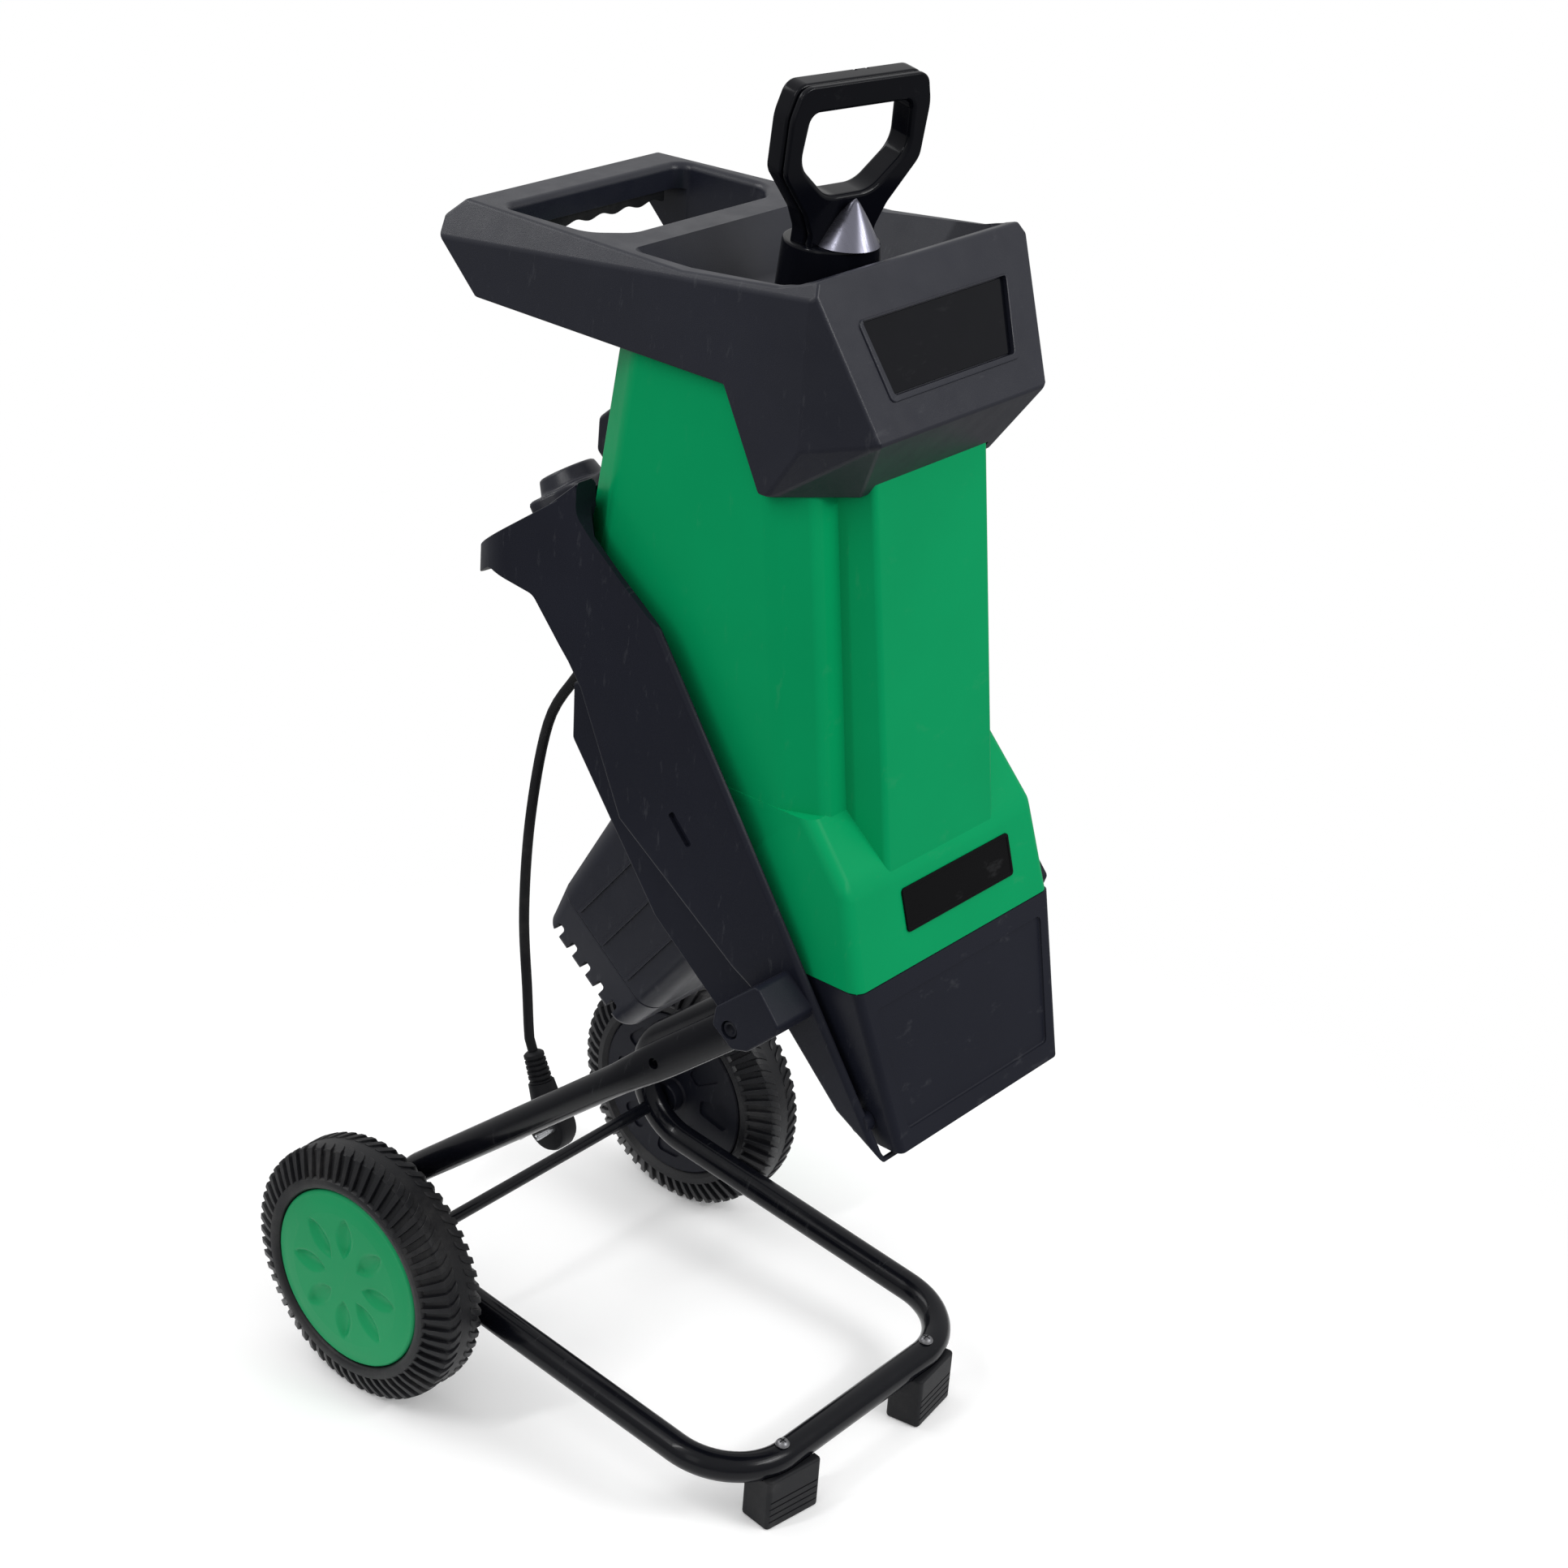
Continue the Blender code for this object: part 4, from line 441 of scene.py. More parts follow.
def shrunk(loop, distance):
    """An outline moved inwards, for loops without tight inner corners."""
    area = sum(loop[i - 1][0] * p[1] - p[0] * loop[i - 1][1] for i, p in enumerate(loop))
    side = 1.0 if area > 0 else -1.0
    inner = []
    for i, point in enumerate(loop):
        along = (Vector(loop[(i + 1) % len(loop)]) - Vector(loop[i - 1])).normalized()
        inner.append(tuple(Vector(point) + Vector((-along.y, along.x)) * side * distance))
    return inner


def extruded(loop, low, high, place=WORLD):
    bm = bmesh.new()
    bm.faces.new([bm.verts.new((a, b, low)) for a, b in loop])
    made = bmesh.ops.extrude_face_region(bm, geom=bm.faces[:])
    top = [v for v in made["geom"] if isinstance(v, bmesh.types.BMVert)]
    bmesh.ops.translate(bm, verts=top, vec=(0, 0, high - low))
    bmesh.ops.recalc_face_normals(bm, faces=bm.faces)
    return moved(bm, place)


def moved(bm, place):
    bmesh.ops.transform(bm, matrix=place, verts=bm.verts)
    return bm


def span(side, near, far):
    """The low and high X of what reaches from near to far on one side of the machine."""
    return sorted((side * near, side * far))


def facing(centre, up, out):
    """A frame whose X runs across the machine and whose Z points outwards."""
    return Matrix.Translation(centre) @ Matrix((Vector((1, 0, 0)), up, out)).transposed().to_4x4()


def side_prism(loop, low_x, high_x):
    """An outline of (y, z) pulled out across the machine."""
    return extruded(loop, low_x, high_x, SIDEWAYS)


def box(low, high, place=WORLD):
    bm = bmesh.new()
    bmesh.ops.create_cube(bm, size=1.0)
    low, high = Vector(low), Vector(high)
    bmesh.ops.scale(bm, verts=bm.verts, vec=high - low)
    bmesh.ops.translate(bm, verts=bm.verts, vec=(low + high) / 2)
    return moved(bm, place)


def cylinder(radius, low, high, place=WORLD, segments=48, top=None):
    bm = bmesh.new()
    bmesh.ops.create_cone(bm, cap_ends=True, segments=segments, radius1=radius,
                          radius2=radius if top is None else top, depth=high - low)
    bmesh.ops.translate(bm, verts=bm.verts, vec=(0, 0, (low + high) / 2))
    return moved(bm, place)


def spun(profile, place=WORLD, segments=96, ring=False):
    """A profile of (radius, height) spun about the place's Z. A ring's profile is a closed loop."""
    bm = bmesh.new()
    verts = [bm.verts.new((r, 0, z)) for r, z in profile]
    pairs = list(zip(verts, verts[1:])) + ([(verts[-1], verts[0])] if ring else [])
    edges = [bm.edges.new(pair) for pair in pairs]
    bmesh.ops.spin(bm, geom=verts + edges, cent=(0, 0, 0), axis=(0, 0, 1), angle=2 * math.pi,
                   steps=segments, use_merge=True)
    bmesh.ops.remove_doubles(bm, verts=bm.verts, dist=0.000005)
    bmesh.ops.recalc_face_normals(bm, faces=bm.faces)
    return moved(bm, place)


def trimmed(bm, planes):
    """Cuts away what lies beyond each plane, given as a point and an outward normal."""
    for point, normal in planes:
        everything = bm.verts[:] + bm.edges[:] + bm.faces[:]
        bmesh.ops.bisect_plane(bm, geom=everything, dist=0.000001, plane_co=point, plane_no=normal,
                               clear_outer=True)
        bmesh.ops.holes_fill(bm, edges=[edge for edge in bm.edges if edge.is_boundary])
    bmesh.ops.recalc_face_normals(bm, faces=bm.faces)
    return bm


def block(planes, inset=0.0):
    """What is left of all space within the planes, moved inwards by the inset."""
    return trimmed(box((-1, -1, -1), (1, 1, 2)), offset(planes, -inset))


def softened(bm, width, segments=3, angle=30, where=None, convex=None, clamp=True):
    """Rounds the edges that are sharper than the angle, if their middle passes the test."""
    chosen = []
    for edge in bm.edges:
        if not edge.is_manifold or edge.calc_face_angle(0.0) < math.radians(angle):
            continue
        if convex is not None and edge.is_convex != convex:
            continue
        if where is None or where((edge.verts[0].co + edge.verts[1].co) / 2, edge):
            chosen.append(edge)
    if chosen:
        bmesh.ops.bevel(bm, geom=chosen, offset=width, offset_type="OFFSET", segments=segments,
                        profile=0.5, affect="EDGES", clamp_overlap=clamp, material=-1)
    return bm


def combined(bm, others, operation="DIFFERENCE"):
    """The boolean of one mesh with several others, all used up."""
    things = []
    for source in [bm] + list(others):
        mesh = bpy.data.meshes.new("step")
        source.to_mesh(mesh)
        source.free()
        thing = bpy.data.objects.new("step", mesh)
        bpy.context.scene.collection.objects.link(thing)
        things.append(thing)
    for other in things[1:]:
        modifier = things[0].modifiers.new("step", "BOOLEAN")
        modifier.operation = operation
        modifier.solver = "EXACT"
        modifier.object = other
    bpy.context.view_layer.update()
    graph = bpy.context.evaluated_depsgraph_get()
    out = bmesh.new()
    out.from_object(things[0], graph)
    for thing in things:
        mesh = thing.data
        bpy.data.objects.remove(thing, do_unlink=True)
        bpy.data.meshes.remove(mesh)
    bmesh.ops.remove_doubles(out, verts=out.verts, dist=0.000002)
    bmesh.ops.dissolve_degenerate(out, edges=out.edges, dist=0.000002)
    return out


def cleaned(bm, angle=0.4):
    """Joins the coplanar pieces that a boolean leaves in flat faces."""
    bmesh.ops.dissolve_limit(bm, angle_limit=math.radians(angle), verts=bm.verts, edges=bm.edges,
                             use_dissolve_boundaries=False)
    return bm


def merged(bm, *others):
    """Puts loose meshes together as one, without a boolean."""
    mesh = bpy.data.meshes.new("step")
    for other in others:
        other.to_mesh(mesh)
        other.free()
        bm.from_mesh(mesh)
    bpy.data.meshes.remove(mesh)
    return bm


def tube_curve(name, points, radius, resolution):
    """A curve of straight runs with a round section, as an object of the scene."""
    curve = bpy.data.curves.new(name, "CURVE")
    curve.dimensions = "3D"
    curve.bevel_depth = radius
    curve.bevel_resolution = resolution
    curve.use_fill_caps = True
    spline = curve.splines.new("POLY")
    spline.points.add(len(points) - 1)
    for point, co in zip(spline.points, points):
        point.co = (*co, 1)
    thing = bpy.data.objects.new(name, curve)
    bpy.context.scene.collection.objects.link(thing)
    return thing


def swept(points, radius, resolution=8):
    """A round tube along a line of points."""
    thing = tube_curve("step", points, radius, resolution)
    curve = thing.data
    bpy.context.view_layer.update()
    mesh = bpy.data.meshes.new_from_object(thing.evaluated_get(bpy.context.evaluated_depsgraph_get()))
    bpy.data.objects.remove(thing, do_unlink=True)
    bpy.data.curves.remove(curve)
    bm = bmesh.new()
    bm.from_mesh(mesh)
    bpy.data.meshes.remove(mesh)
    bmesh.ops.remove_doubles(bm, verts=bm.verts, dist=0.00001)
    bmesh.ops.recalc_face_normals(bm, faces=bm.faces)
    return bm


def placed(name, bm, finish, body, nodes=(), sharp=40):
    """Makes the piece's object and says what carries it and what it stands for."""
    mesh = bpy.data.meshes.new(name)
    bm.to_mesh(mesh)
    bm.free()
    mesh.materials.append(MATERIALS[finish])
    mesh.shade_smooth()
    mesh.set_sharp_from_angle(angle=math.radians(sharp))
    thing = bpy.data.objects.new(name, mesh)
    bpy.context.scene.collection.objects.link(thing)
    weighted = thing.modifiers.new("normals", "WEIGHTED_NORMAL")
    weighted.keep_sharp = True
    weighted.weight = 80
    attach(thing, body)
    if nodes:
        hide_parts(*nodes)
    return thing


def dressed(finish, *names):
    """Gives packed nodes that stay a finished material."""
    for name in names:
        mesh = NODES[name].data
        mesh.materials.clear()
        mesh.materials.append(MATERIALS[finish])


def bent_path(corners, steps=18):
    """Points along straight runs joined by arcs: each corner is (point, bend radius)."""
    points = [Vector(corners[0][0])]
    for i in range(1, len(corners) - 1):
        here, radius = Vector(corners[i][0]), corners[i][1]
        before = (Vector(corners[i - 1][0]) - here).normalized()
        after = (Vector(corners[i + 1][0]) - here).normalized()
        half = before.angle(after) / 2
        reach = radius / math.tan(half)
        centre = here + (before + after).normalized() * radius / math.sin(half)
        start = here + before * reach - centre
        end = here + after * reach - centre
        for k in range(steps + 1):
            turn = Matrix.Rotation(start.angle(end) * k / steps, 3, start.cross(end))
            points.append(centre + turn @ start)
    points.append(Vector(corners[-1][0]))
    return points


def smooth_path(route, spacing):
    """Evenly spaced points along a smooth curve through the route, whose two end runs are straight."""
    route = [Vector(p) for p in route]
    dense = []
    for p0, p1, p2, p3 in zip(route, route[1:], route[2:], route[3:]):
        for k in range(20):
            t = k / 20
            dense.append(0.5 * (2 * p1 + (p2 - p0) * t + (2 * p0 - 5 * p1 + 4 * p2 - p3) * t * t
                                + (3 * p1 - p0 - 3 * p2 + p3) * t ** 3))
    dense.append(route[-2])
    total = sum((b - a).length for a, b in zip(dense, dense[1:]))
    count = max(2, round(total / spacing))
    points, walked, target = [route[0], dense[0]], 0.0, total / count
    for a, b in zip(dense, dense[1:]):
        step = (b - a).length
        while walked + step >= target and len(points) < count + 1:
            points.append(a.lerp(b, (target - walked) / step))
            target += total / count
        walked += step
    return points + [dense[-1], route[-1]]


# Camera and stage

def make_camera():
    data = bpy.data.cameras.new("camera")
    data.lens = settings().lens
    data.sensor_width = 36.0
    data.clip_start = 0.05
    camera = bpy.data.objects.new("camera", data)
    right = Vector((0.63104, -0.77268, 0.06890))
    up = Vector((0.30447, 0.32839, 0.89412))
    forward = Vector((0.71350, 0.54325, -0.44249))
    place = Matrix((right, up, -forward)).transposed().to_4x4()
    place.translation = Vector((-1.51646, -1.21185, 1.45001))
    camera.matrix_world = place
    bpy.context.scene.collection.objects.link(camera)
    bpy.context.scene.camera = camera


def area_lamp(name, place, target, size, power):
    data = bpy.data.lights.new(name, "AREA")
    data.shape = "RECTANGLE"
    data.size, data.size_y = size
    data.energy = power
    lamp = bpy.data.objects.new(name, data)
    aim = (Vector(target) - Vector(place)).to_track_quat("-Z", "Y")
    lamp.matrix_world = Matrix.Translation(place) @ aim.to_matrix().to_4x4()
    bpy.context.scene.collection.objects.link(lamp)


def make_world():
    """White for the camera. The light on things is weaker and fades towards the ground."""
    world = bpy.data.worlds.new("studio")
    bpy.context.scene.world = world
    world.use_nodes = True
    tree = world.node_tree
    back = tree.nodes["Background"]
    back.inputs["Color"].default_value = WHITE
    path = node(tree, "ShaderNodeLightPath").outputs
    seen = maths(tree, "MAXIMUM", path["Is Camera Ray"], path["Is Transmission Ray"])
    height = node(tree, "ShaderNodeSeparateXYZ")
    tree.links.new(node(tree, "ShaderNodeTexCoord").outputs["Generated"], height.inputs[0])
    light = settings().light
    sky = ranged(tree, height.outputs["Z"], -0.7, 0.9, light * 0.40, light * 1.45, smooth=True)
    tree.links.new(maths(tree, "MAXIMUM", sky, seen), back.inputs["Strength"])


def floor_material():
    """Near white, and fading out with the distance from the machine."""
    made = bpy.data.materials.new("floor")
    made.use_nodes = True
    tree = made.node_tree
    shader = tree.nodes["Principled BSDF"]
    spot = node(tree, "ShaderNodeTexCoord").outputs["Object"]
    cloud = ranged(tree, noise(tree, spot, 3.0, 2.0), 0.3, 0.7, 0.0, 1.0)
    reach = node(tree, "ShaderNodeVectorMath", operation="LENGTH")
    tree.links.new(spot, reach.inputs[0])
    for label, value in (
            ("Base Color", mixed(tree, cloud, (0.93, 0.93, 0.93, 1.0), (0.95, 0.95, 0.95, 1.0))),
            ("Alpha", ranged(tree, reach.outputs["Value"], 0.24, 0.80, 1.0, 0.0, smooth=True)),
            ("Roughness", 0.7), ("Specular IOR Level", 0.2), ("Emission Color", WHITE),
            ("Emission Strength", 0.12)):
        feed(tree, shader.inputs[label], value)
    return made


def make_stage():
    scene = bpy.context.scene
    scene.view_settings.view_transform = "Standard"
    make_world()
    bm = bmesh.new()
    bmesh.ops.create_grid(bm, x_segments=2, y_segments=2, size=6.0)
    mesh = bpy.data.meshes.new("floor")
    bm.to_mesh(mesh)
    bm.free()
    mesh.materials.append(floor_material())
    floor = bpy.data.objects.new("floor", mesh)
    scene.collection.objects.link(floor)
    # Name, place, the point it looks at, size and power
    for lamp in (("key", (0.9, -2.3, 2.3), (0, -0.05, 0.5), (1.4, 1.4), 27),
                 ("fill", (-2.6, -0.4, 1.5), (0, 0, 0.5), (0.7, 1.6), 3),
                 ("rim", (-0.6, 2.2, 2.2), (0, 0, 0.6), (1.6, 0.8), 14),
                 ("strip", (-1.5, 0.5, 2.1), (0, 0, 0.7), (0.10, 1.3), 11),
                 ("strip_front", (0.4, -1.9, 1.7), (0, 0, 0.7), (1.2, 0.08), 8)):
        area_lamp(*lamp)


# Lead: gland, cord, strain relief and plug

def gland_frame():
    return turned_frame(0.0975, 0.5658, math.radians(-156.5), CORD_X)


def plug_frame():
    return turned_frame(0.1350, 0.2270, math.radians(157), CORD_X)


def gland_mesh(radius, length):
    """The ribbed sleeve where the cord leaves the switch box."""
    rings = [(0, length), (radius + 0.0008, length), (radius + 0.0014, length - 0.0008)]
    for k in range(4):
        z, wider = length - 0.0018 - k * 0.0024, k * 0.0004
        rings += [(radius + 0.0014 + wider, z), (radius + 0.0006 + wider, z - 0.0005),
                  (radius + 0.0006 + wider, z - 0.0013), (radius + 0.0018 + wider, z - 0.0018)]
    rings += [(radius + 0.0034, 0.0020), (radius + 0.0034, GAP), (0, GAP)]
    return spun(rings, gland_frame(), 48)


def relief_mesh(length):
    """The plug's strain relief: a sleeve with five grooves."""
    shape = [(0, 0.0), (0.0052, 0.0), (0.0068, 0.0010), (0.0078, 0.0020)]
    for k in range(5):
        z, r = 0.0026 + k * 0.0040, 0.0078 + k * 0.00022
        shape += [(r, z), (r, z + 0.0020), (r - 0.0016, z + 0.0023), (r - 0.0016, z + 0.0035)]
    shape += [(0.0088, 0.0228), (0.0088, length), (0, length)]
    return spun(shape, plug_frame(), 48)


def plug_meshes(low):
    """The plug's body with grip ridges, and its two pins."""
    reach, half, size = 0.034, 0.009, 0.019
    plug = plug_frame()
    centre = plug @ Vector((0, 0, low + reach))
    quarter = Matrix.Rotation(-math.pi / 2, 4, "Y")
    side_on = Matrix.Translation(centre) @ quarter
    neck = cylinder(0.0100, low, low + reach, plug, 48, top=0.0130)
    head = spun([(0, half), (size - 0.004, half), (size - 0.0012, half - 0.0008), (size, half - 0.003),
                 (size, -half + 0.005), (size - 0.0016, -half + 0.0018), (size - 0.005, -half), (0, -half)],
                side_on, 64)
    grips = []
    for degrees in (20, 50, 80, 170, 200, 230):
        turn = side_on @ turned(math.radians(degrees))
        grips.append(box((size - 0.0012, -0.0009, -0.0045), (size + 0.002, 0.0009, 0.0045), turn))
    body = softened(combined(combined(neck, [head], "UNION"), grips), 0.0005, 2, 35)
    apart = (plug.to_3x3() @ Vector((0, 1, 0))) * 0.0095
    pins = bmesh.new()
    for side in (-1, 1):
        merged(pins, spun([(0, half - 0.002), (0.0024, half - 0.002), (0.0024, half + 0.0175),
                           (0.0014, half + 0.019), (0, half + 0.019)],
                          Matrix.Translation(centre + apart * side) @ quarter, 32))
    return body, pins


def make_lead():
    radius = settings().cord_radius
    gland, plug = gland_frame(), plug_frame()
    gland_length, relief_length, straight = 0.014, 0.024, 0.010
    route = [gland @ Vector((0, 0, gland_length + GAP)),
             gland @ Vector((0, 0, gland_length + GAP + straight))]
    route += [(CORD_X, 0.1320, 0.500), (CORD_X, 0.1460, 0.420), (CORD_X, 0.1490, 0.340),
              (CORD_X, 0.1430, 0.276)]
    route += [plug @ Vector((0, 0, -GAP - straight)), plug @ Vector((0, 0, -GAP))]
    points = smooth_path(route, 0.0105)
    cord = tube_curve("lead_cord", points, radius, 6)
    cord.data.splines[0].use_smooth = True
    cord.data.materials.append(MATERIALS["rubber"])
    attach(cord, "base")
    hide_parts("cord")
    placed("lead_gland", gland_mesh(radius, gland_length), "rubber", "base", ["cord_gland"])
    relief = placed("lead_relief", relief_mesh(relief_length), "rubber", "base",
                    ["plug_strain_relief"])
    body, pins = plug_meshes(relief_length + GAP)
    head = placed("lead_plug", body, "rubber", "base", ["plug"])
    pins = placed("lead_pins", pins, "steel", "base")


# Stand: bent tube, feet, axle and bolts

def stand_points():
    near = [((-ARM_X, *ARM_END), 0.0), ((-ARM_X, *HEEL), 0.050), ((-ARM_X, *TOE), 0.055)]
    far = [((-x, y, z), bend) for (x, y, z), bend in reversed(near)]
    points = bent_path(near + far)
    steps = 20  # more points along the arms, whose ends are pressed flat
    step = (points[1] - points[0]).length / (steps + 1)
    along = (points[1] - points[0]).normalized()
    extra = [points[0] + along * step * k for k in range(1, steps + 1)]
    other = [Vector((-p.x, p.y, p.z)) for p in reversed(extra)]
    return [points[0]] + extra + points[1:-1] + other + [points[-1]]


def flattened(bm, radius):
    """Presses the upper ends of the two arms flat, as they are where they are bolted on."""
    thick, wide, length, fade = 0.010, 0.027, 0.16, 0.06
    end = Vector(ARM_END)
    along = (end - Vector(HEEL)).normalized()
    for vert in bm.verts:
        offset_by = Vector((vert.co.y, vert.co.z)) - end
        back = -offset_by.dot(along)
        if back > length or vert.co.z < HEEL[1] + 0.08:
            continue
        press = min(1.0, max(0.0, (length - back) / fade))
        press = press * press * (3 - 2 * press)
        side = math.copysign(ARM_X, vert.co.x)
        vert.co.x = side + (vert.co.x - side) * (1 + (thick / (2 * radius) - 1) * press)
        sideways = (offset_by + along * back) * (1 + (wide / (2 * radius) - 1) * press)
        vert.co.y, vert.co.z = end - along * back + sideways
    return bm


def make_stand():
    radius = settings().tube_radius
    points = stand_points()
    tube = flattened(swept(points, radius, 8), radius)
    cuts = [cylinder(0.0053, -0.16, 0.16, across_at(*AXLE), 32),
            cylinder(0.0043, -0.16, 0.16, across_at(*LEG_BOLT), 24),
            cylinder(0.0040, -0.16, 0.16, across_at(*SPARE_HOLE), 24)]
    for side in (-1, 1):
        cuts.append(cylinder(0.0028, -0.02, 0.02, Matrix.Translation((side * FOOT_SCREW_X, *TOE)), 24))
    tube = softened(combined(tube, cuts), 0.0005, 2, 50)
    placed("stand_frame", tube, "paint", "base", ["stand_tube"], 50)
    for side, word in SIDES:
        make_foot(side, word, points, radius)
        place = across_at(*LEG_BOLT) @ Matrix.Rotation(math.pi / 2 * (1 - side), 4, "Y")
        head = spun([(0, 0.1462), (0.0016, 0.1462), (0.0024, 0.1466), (0.0036, 0.1486), (0.0050, 0.1490),
                     (0.0059, 0.1482), (0.0060, 0.1451), (0.0040, 0.1451), (0.0040, 0.109), (0, 0.108)],
                    place, 48)
        placed("leg_screw_" + word, head, "plain black", "base", ["leg_bolt_" + word])


def make_foot(side, word, points, radius):
    """A rubber foot grooved for the tube that runs through it, and the screw from above."""
    splay = turned(side * math.radians(8.2))
    place = Matrix.Translation((side * FOOT_X, TOE[0], 0)) @ splay
    foot = extruded(rectangle(0.025, -0.014, 0.014, 0.0035), 0.0, 0.042, place)
    softened(foot, 0.0022, 3, 40, lambda mid, edge: mid.z < 0.001 or mid.z > 0.041)
    grooves = [swept(points, radius + GAP, 8)]
    for k in range(4):
        z = 0.0065 + 0.0055 * k
        for low_y, high_y in ((-0.0148, -0.0134), (0.0134, 0.0148)):
            grooves.append(box((-0.03, low_y, z), (0.03, high_y, z + 0.0013), place))
    spot = Matrix.Translation((side * FOOT_SCREW_X, TOE[0], 0))
    grooves.append(cylinder(0.0028, 0.009, 0.06, spot, 24))
    foot = softened(combined(foot, grooves), 0.0004, 1, 45)
    placed("rubber_foot_" + word, foot, "rubber", "base", ["foot_" + word], 35)
    top = TOE[1] + radius + GAP
    screw = spun([(0, top + 0.0036), (0.0022, top + 0.0035), (0.0040, top + 0.0026), (0.0052, top + 0.0010),
                  (0.0052, top), (0.0025, top), (0.0025, 0.012), (0, 0.010)], spot, 32)
    slots = [box((-a, -b, top + 0.0016), (a, b, top + 0.006), spot)
             for a, b in ((0.0030, 0.0005), (0.0005, 0.0030))]
    placed("foot_bolt_" + word, combined(screw, slots), "dark steel", "base",
           ["foot_screw_" + word])


# Wheels

def tread_bar(radius, half, pitch, side):
    """The mesh of one bar: four-cornered rings from low on the tyre's side to its middle."""
    rings = []
    for r, deep, high, shift, wide in (
            (radius - 0.0215, half - 0.0030, half - 0.0004, 0.0, 0.46),
            (radius - 0.0150, half - 0.0070, half - 0.0026, 0.02, 0.54),
            (radius - 0.0060, half - 0.0112, half - 0.0070, 0.12, 0.60)):
        rings.append([(r, (shift + a * 0.5) * pitch, x * side) for a, x in (
            (-wide, deep), (wide, deep), (wide * 0.72, high), (-wide * 0.72, high))])
    for low, high, x, shift, wide in (
            (radius - 0.0060, radius - 0.0008, half - 0.0098, 0.18, 0.62),
            (radius - 0.0040, radius, half - 0.0135, 0.30, 0.66),
            (radius - 0.0040, radius, half - 0.0185, 0.62, 0.62),
            (radius - 0.0040, radius - 0.0008, 0.0045, 0.85, 0.46)):
        rings.append([(r, (shift + a * 0.5) * pitch, x * side) for a, r in (
            (-wide, low), (wide, low), (wide * 0.75, high), (-wide * 0.75, high))])
    bar = bmesh.new()
    made = [[bar.verts.new((r * math.cos(t), r * math.sin(t), x)) for r, t, x in ring] for ring in rings]
    bar.faces.new(made[0])
    bar.faces.new(made[-1])
    for one, two in zip(made, made[1:]):
        bmesh.ops.bridge_loops(bar, edges=[bar.edges.get((ring[k], ring[(k + 1) % 4]))
                                           or bar.edges.new((ring[k], ring[(k + 1) % 4]))
                                           for ring in (one, two) for k in range(4)])
    bmesh.ops.recalc_face_normals(bar, faces=bar.faces)
    softened(bar, 0.00045, 1, 50)
    mesh = bpy.data.meshes.new("step")
    bar.to_mesh(mesh)
    bar.free()
    return mesh


def tyre_mesh(radius, half, bars, place):
    """The tyre's skin, with a row of bars on each side that is half a pitch ahead of the other."""
    bead = radius - RIM_DEPTH
    skin = spun([
        (radius - 0.0012, 0.0), (radius - 0.0012, half - 0.0150), (radius - 0.0030, half - 0.0112),
        (radius - 0.0200, half - 0.0040), (radius - 0.0205, half - 0.0016), (radius - 0.0215, half - 0.0004),
        (radius - 0.0240, half), (bead + 0.0030, half - 0.0003), (bead + 0.0012, half - 0.0014),
        (bead, half - SEAT_DEPTH), (bead, -half + 0.004), (bead + 0.004, -half),
        (radius - 0.0215, -half + 0.0004), (radius - 0.0205, -half + 0.0016),
        (radius - 0.0200, -half + 0.0040), (radius - 0.0030, -half + 0.0112),
        (radius - 0.0012, -half + 0.0150),
    ], WORLD, 144, ring=True)
    pitch = 2 * math.pi / bars
    for side in (-1, 1):
        mesh = tread_bar(radius, half, pitch, side)
        for k in range(bars):
            start = len(skin.verts)
            skin.from_mesh(mesh)
            skin.verts.ensure_lookup_table()
            turn = turned(pitch * (k + (0.5 if side > 0 else 0.0)))
            bmesh.ops.transform(skin, matrix=turn, verts=skin.verts[start:])
        bpy.data.meshes.remove(mesh)
    return moved(skin, place)


def dimpled(bm, high, depth=0.0032, petals=8):
    """Presses almond-shaped hollows into the cap's face."""
    centre, half_length, half_width, slope = 0.0355, 0.0165, 0.0082, 0.004
    step = 2 * math.pi / petals
    for vert in bm.verts:
        r = math.hypot(vert.co.x, vert.co.y)
        if vert.co.z < high - 0.0030 or not 0.017 < r < 0.054:
            continue
        off = (math.atan2(vert.co.y, vert.co.x) + step / 2) % step - step / 2
        along = (r - centre) / half_length
        wide = half_width * max(0.0, 1 - along * along)
        if wide > 0.0002:
            t = min(1.0, abs(r * math.sin(off)) / wide)
            vert.co.z -= depth * (1 - t * t) ** 1.3 * min(1.0, wide / slope)
    return bm


def rim_mesh(half, ring, hub_low):
    """The rim: a drum with a hub, and eight windows in its web."""
    seat, inner, web = half - SEAT_DEPTH, ring - 0.003, -half + 0.005
    rim = spun([
        (ring, seat), (ring, -half + 0.003), (ring - 0.001, -half + 0.002), (0.0155, -half + 0.002),
        (0.0140, -half + 0.0005), (0.0135, hub_low + 0.001), (0.0125, hub_low), (0.0055, hub_low),
        (0.0055, half - 0.0070), (0.0140, half - 0.0070), (0.0140, web + 0.002), (0.0160, web),
        (inner - 0.002, web), (inner, web + 0.002), (inner, seat),
    ], WORLD, 96, ring=True)
    window_loop = rounded([(0.030, -0.006, 0.004), (0.058, -0.013, 0.005), (0.058, 0.013, 0.005),
                           (0.030, 0.006, 0.004)], 4)
    windows = [extruded(window_loop, -half - 0.01, web - 0.0012, turned(2 * math.pi * k / 8))
               for k in range(8)]
    return softened(combined(rim, windows), 0.0006, 2, 45)


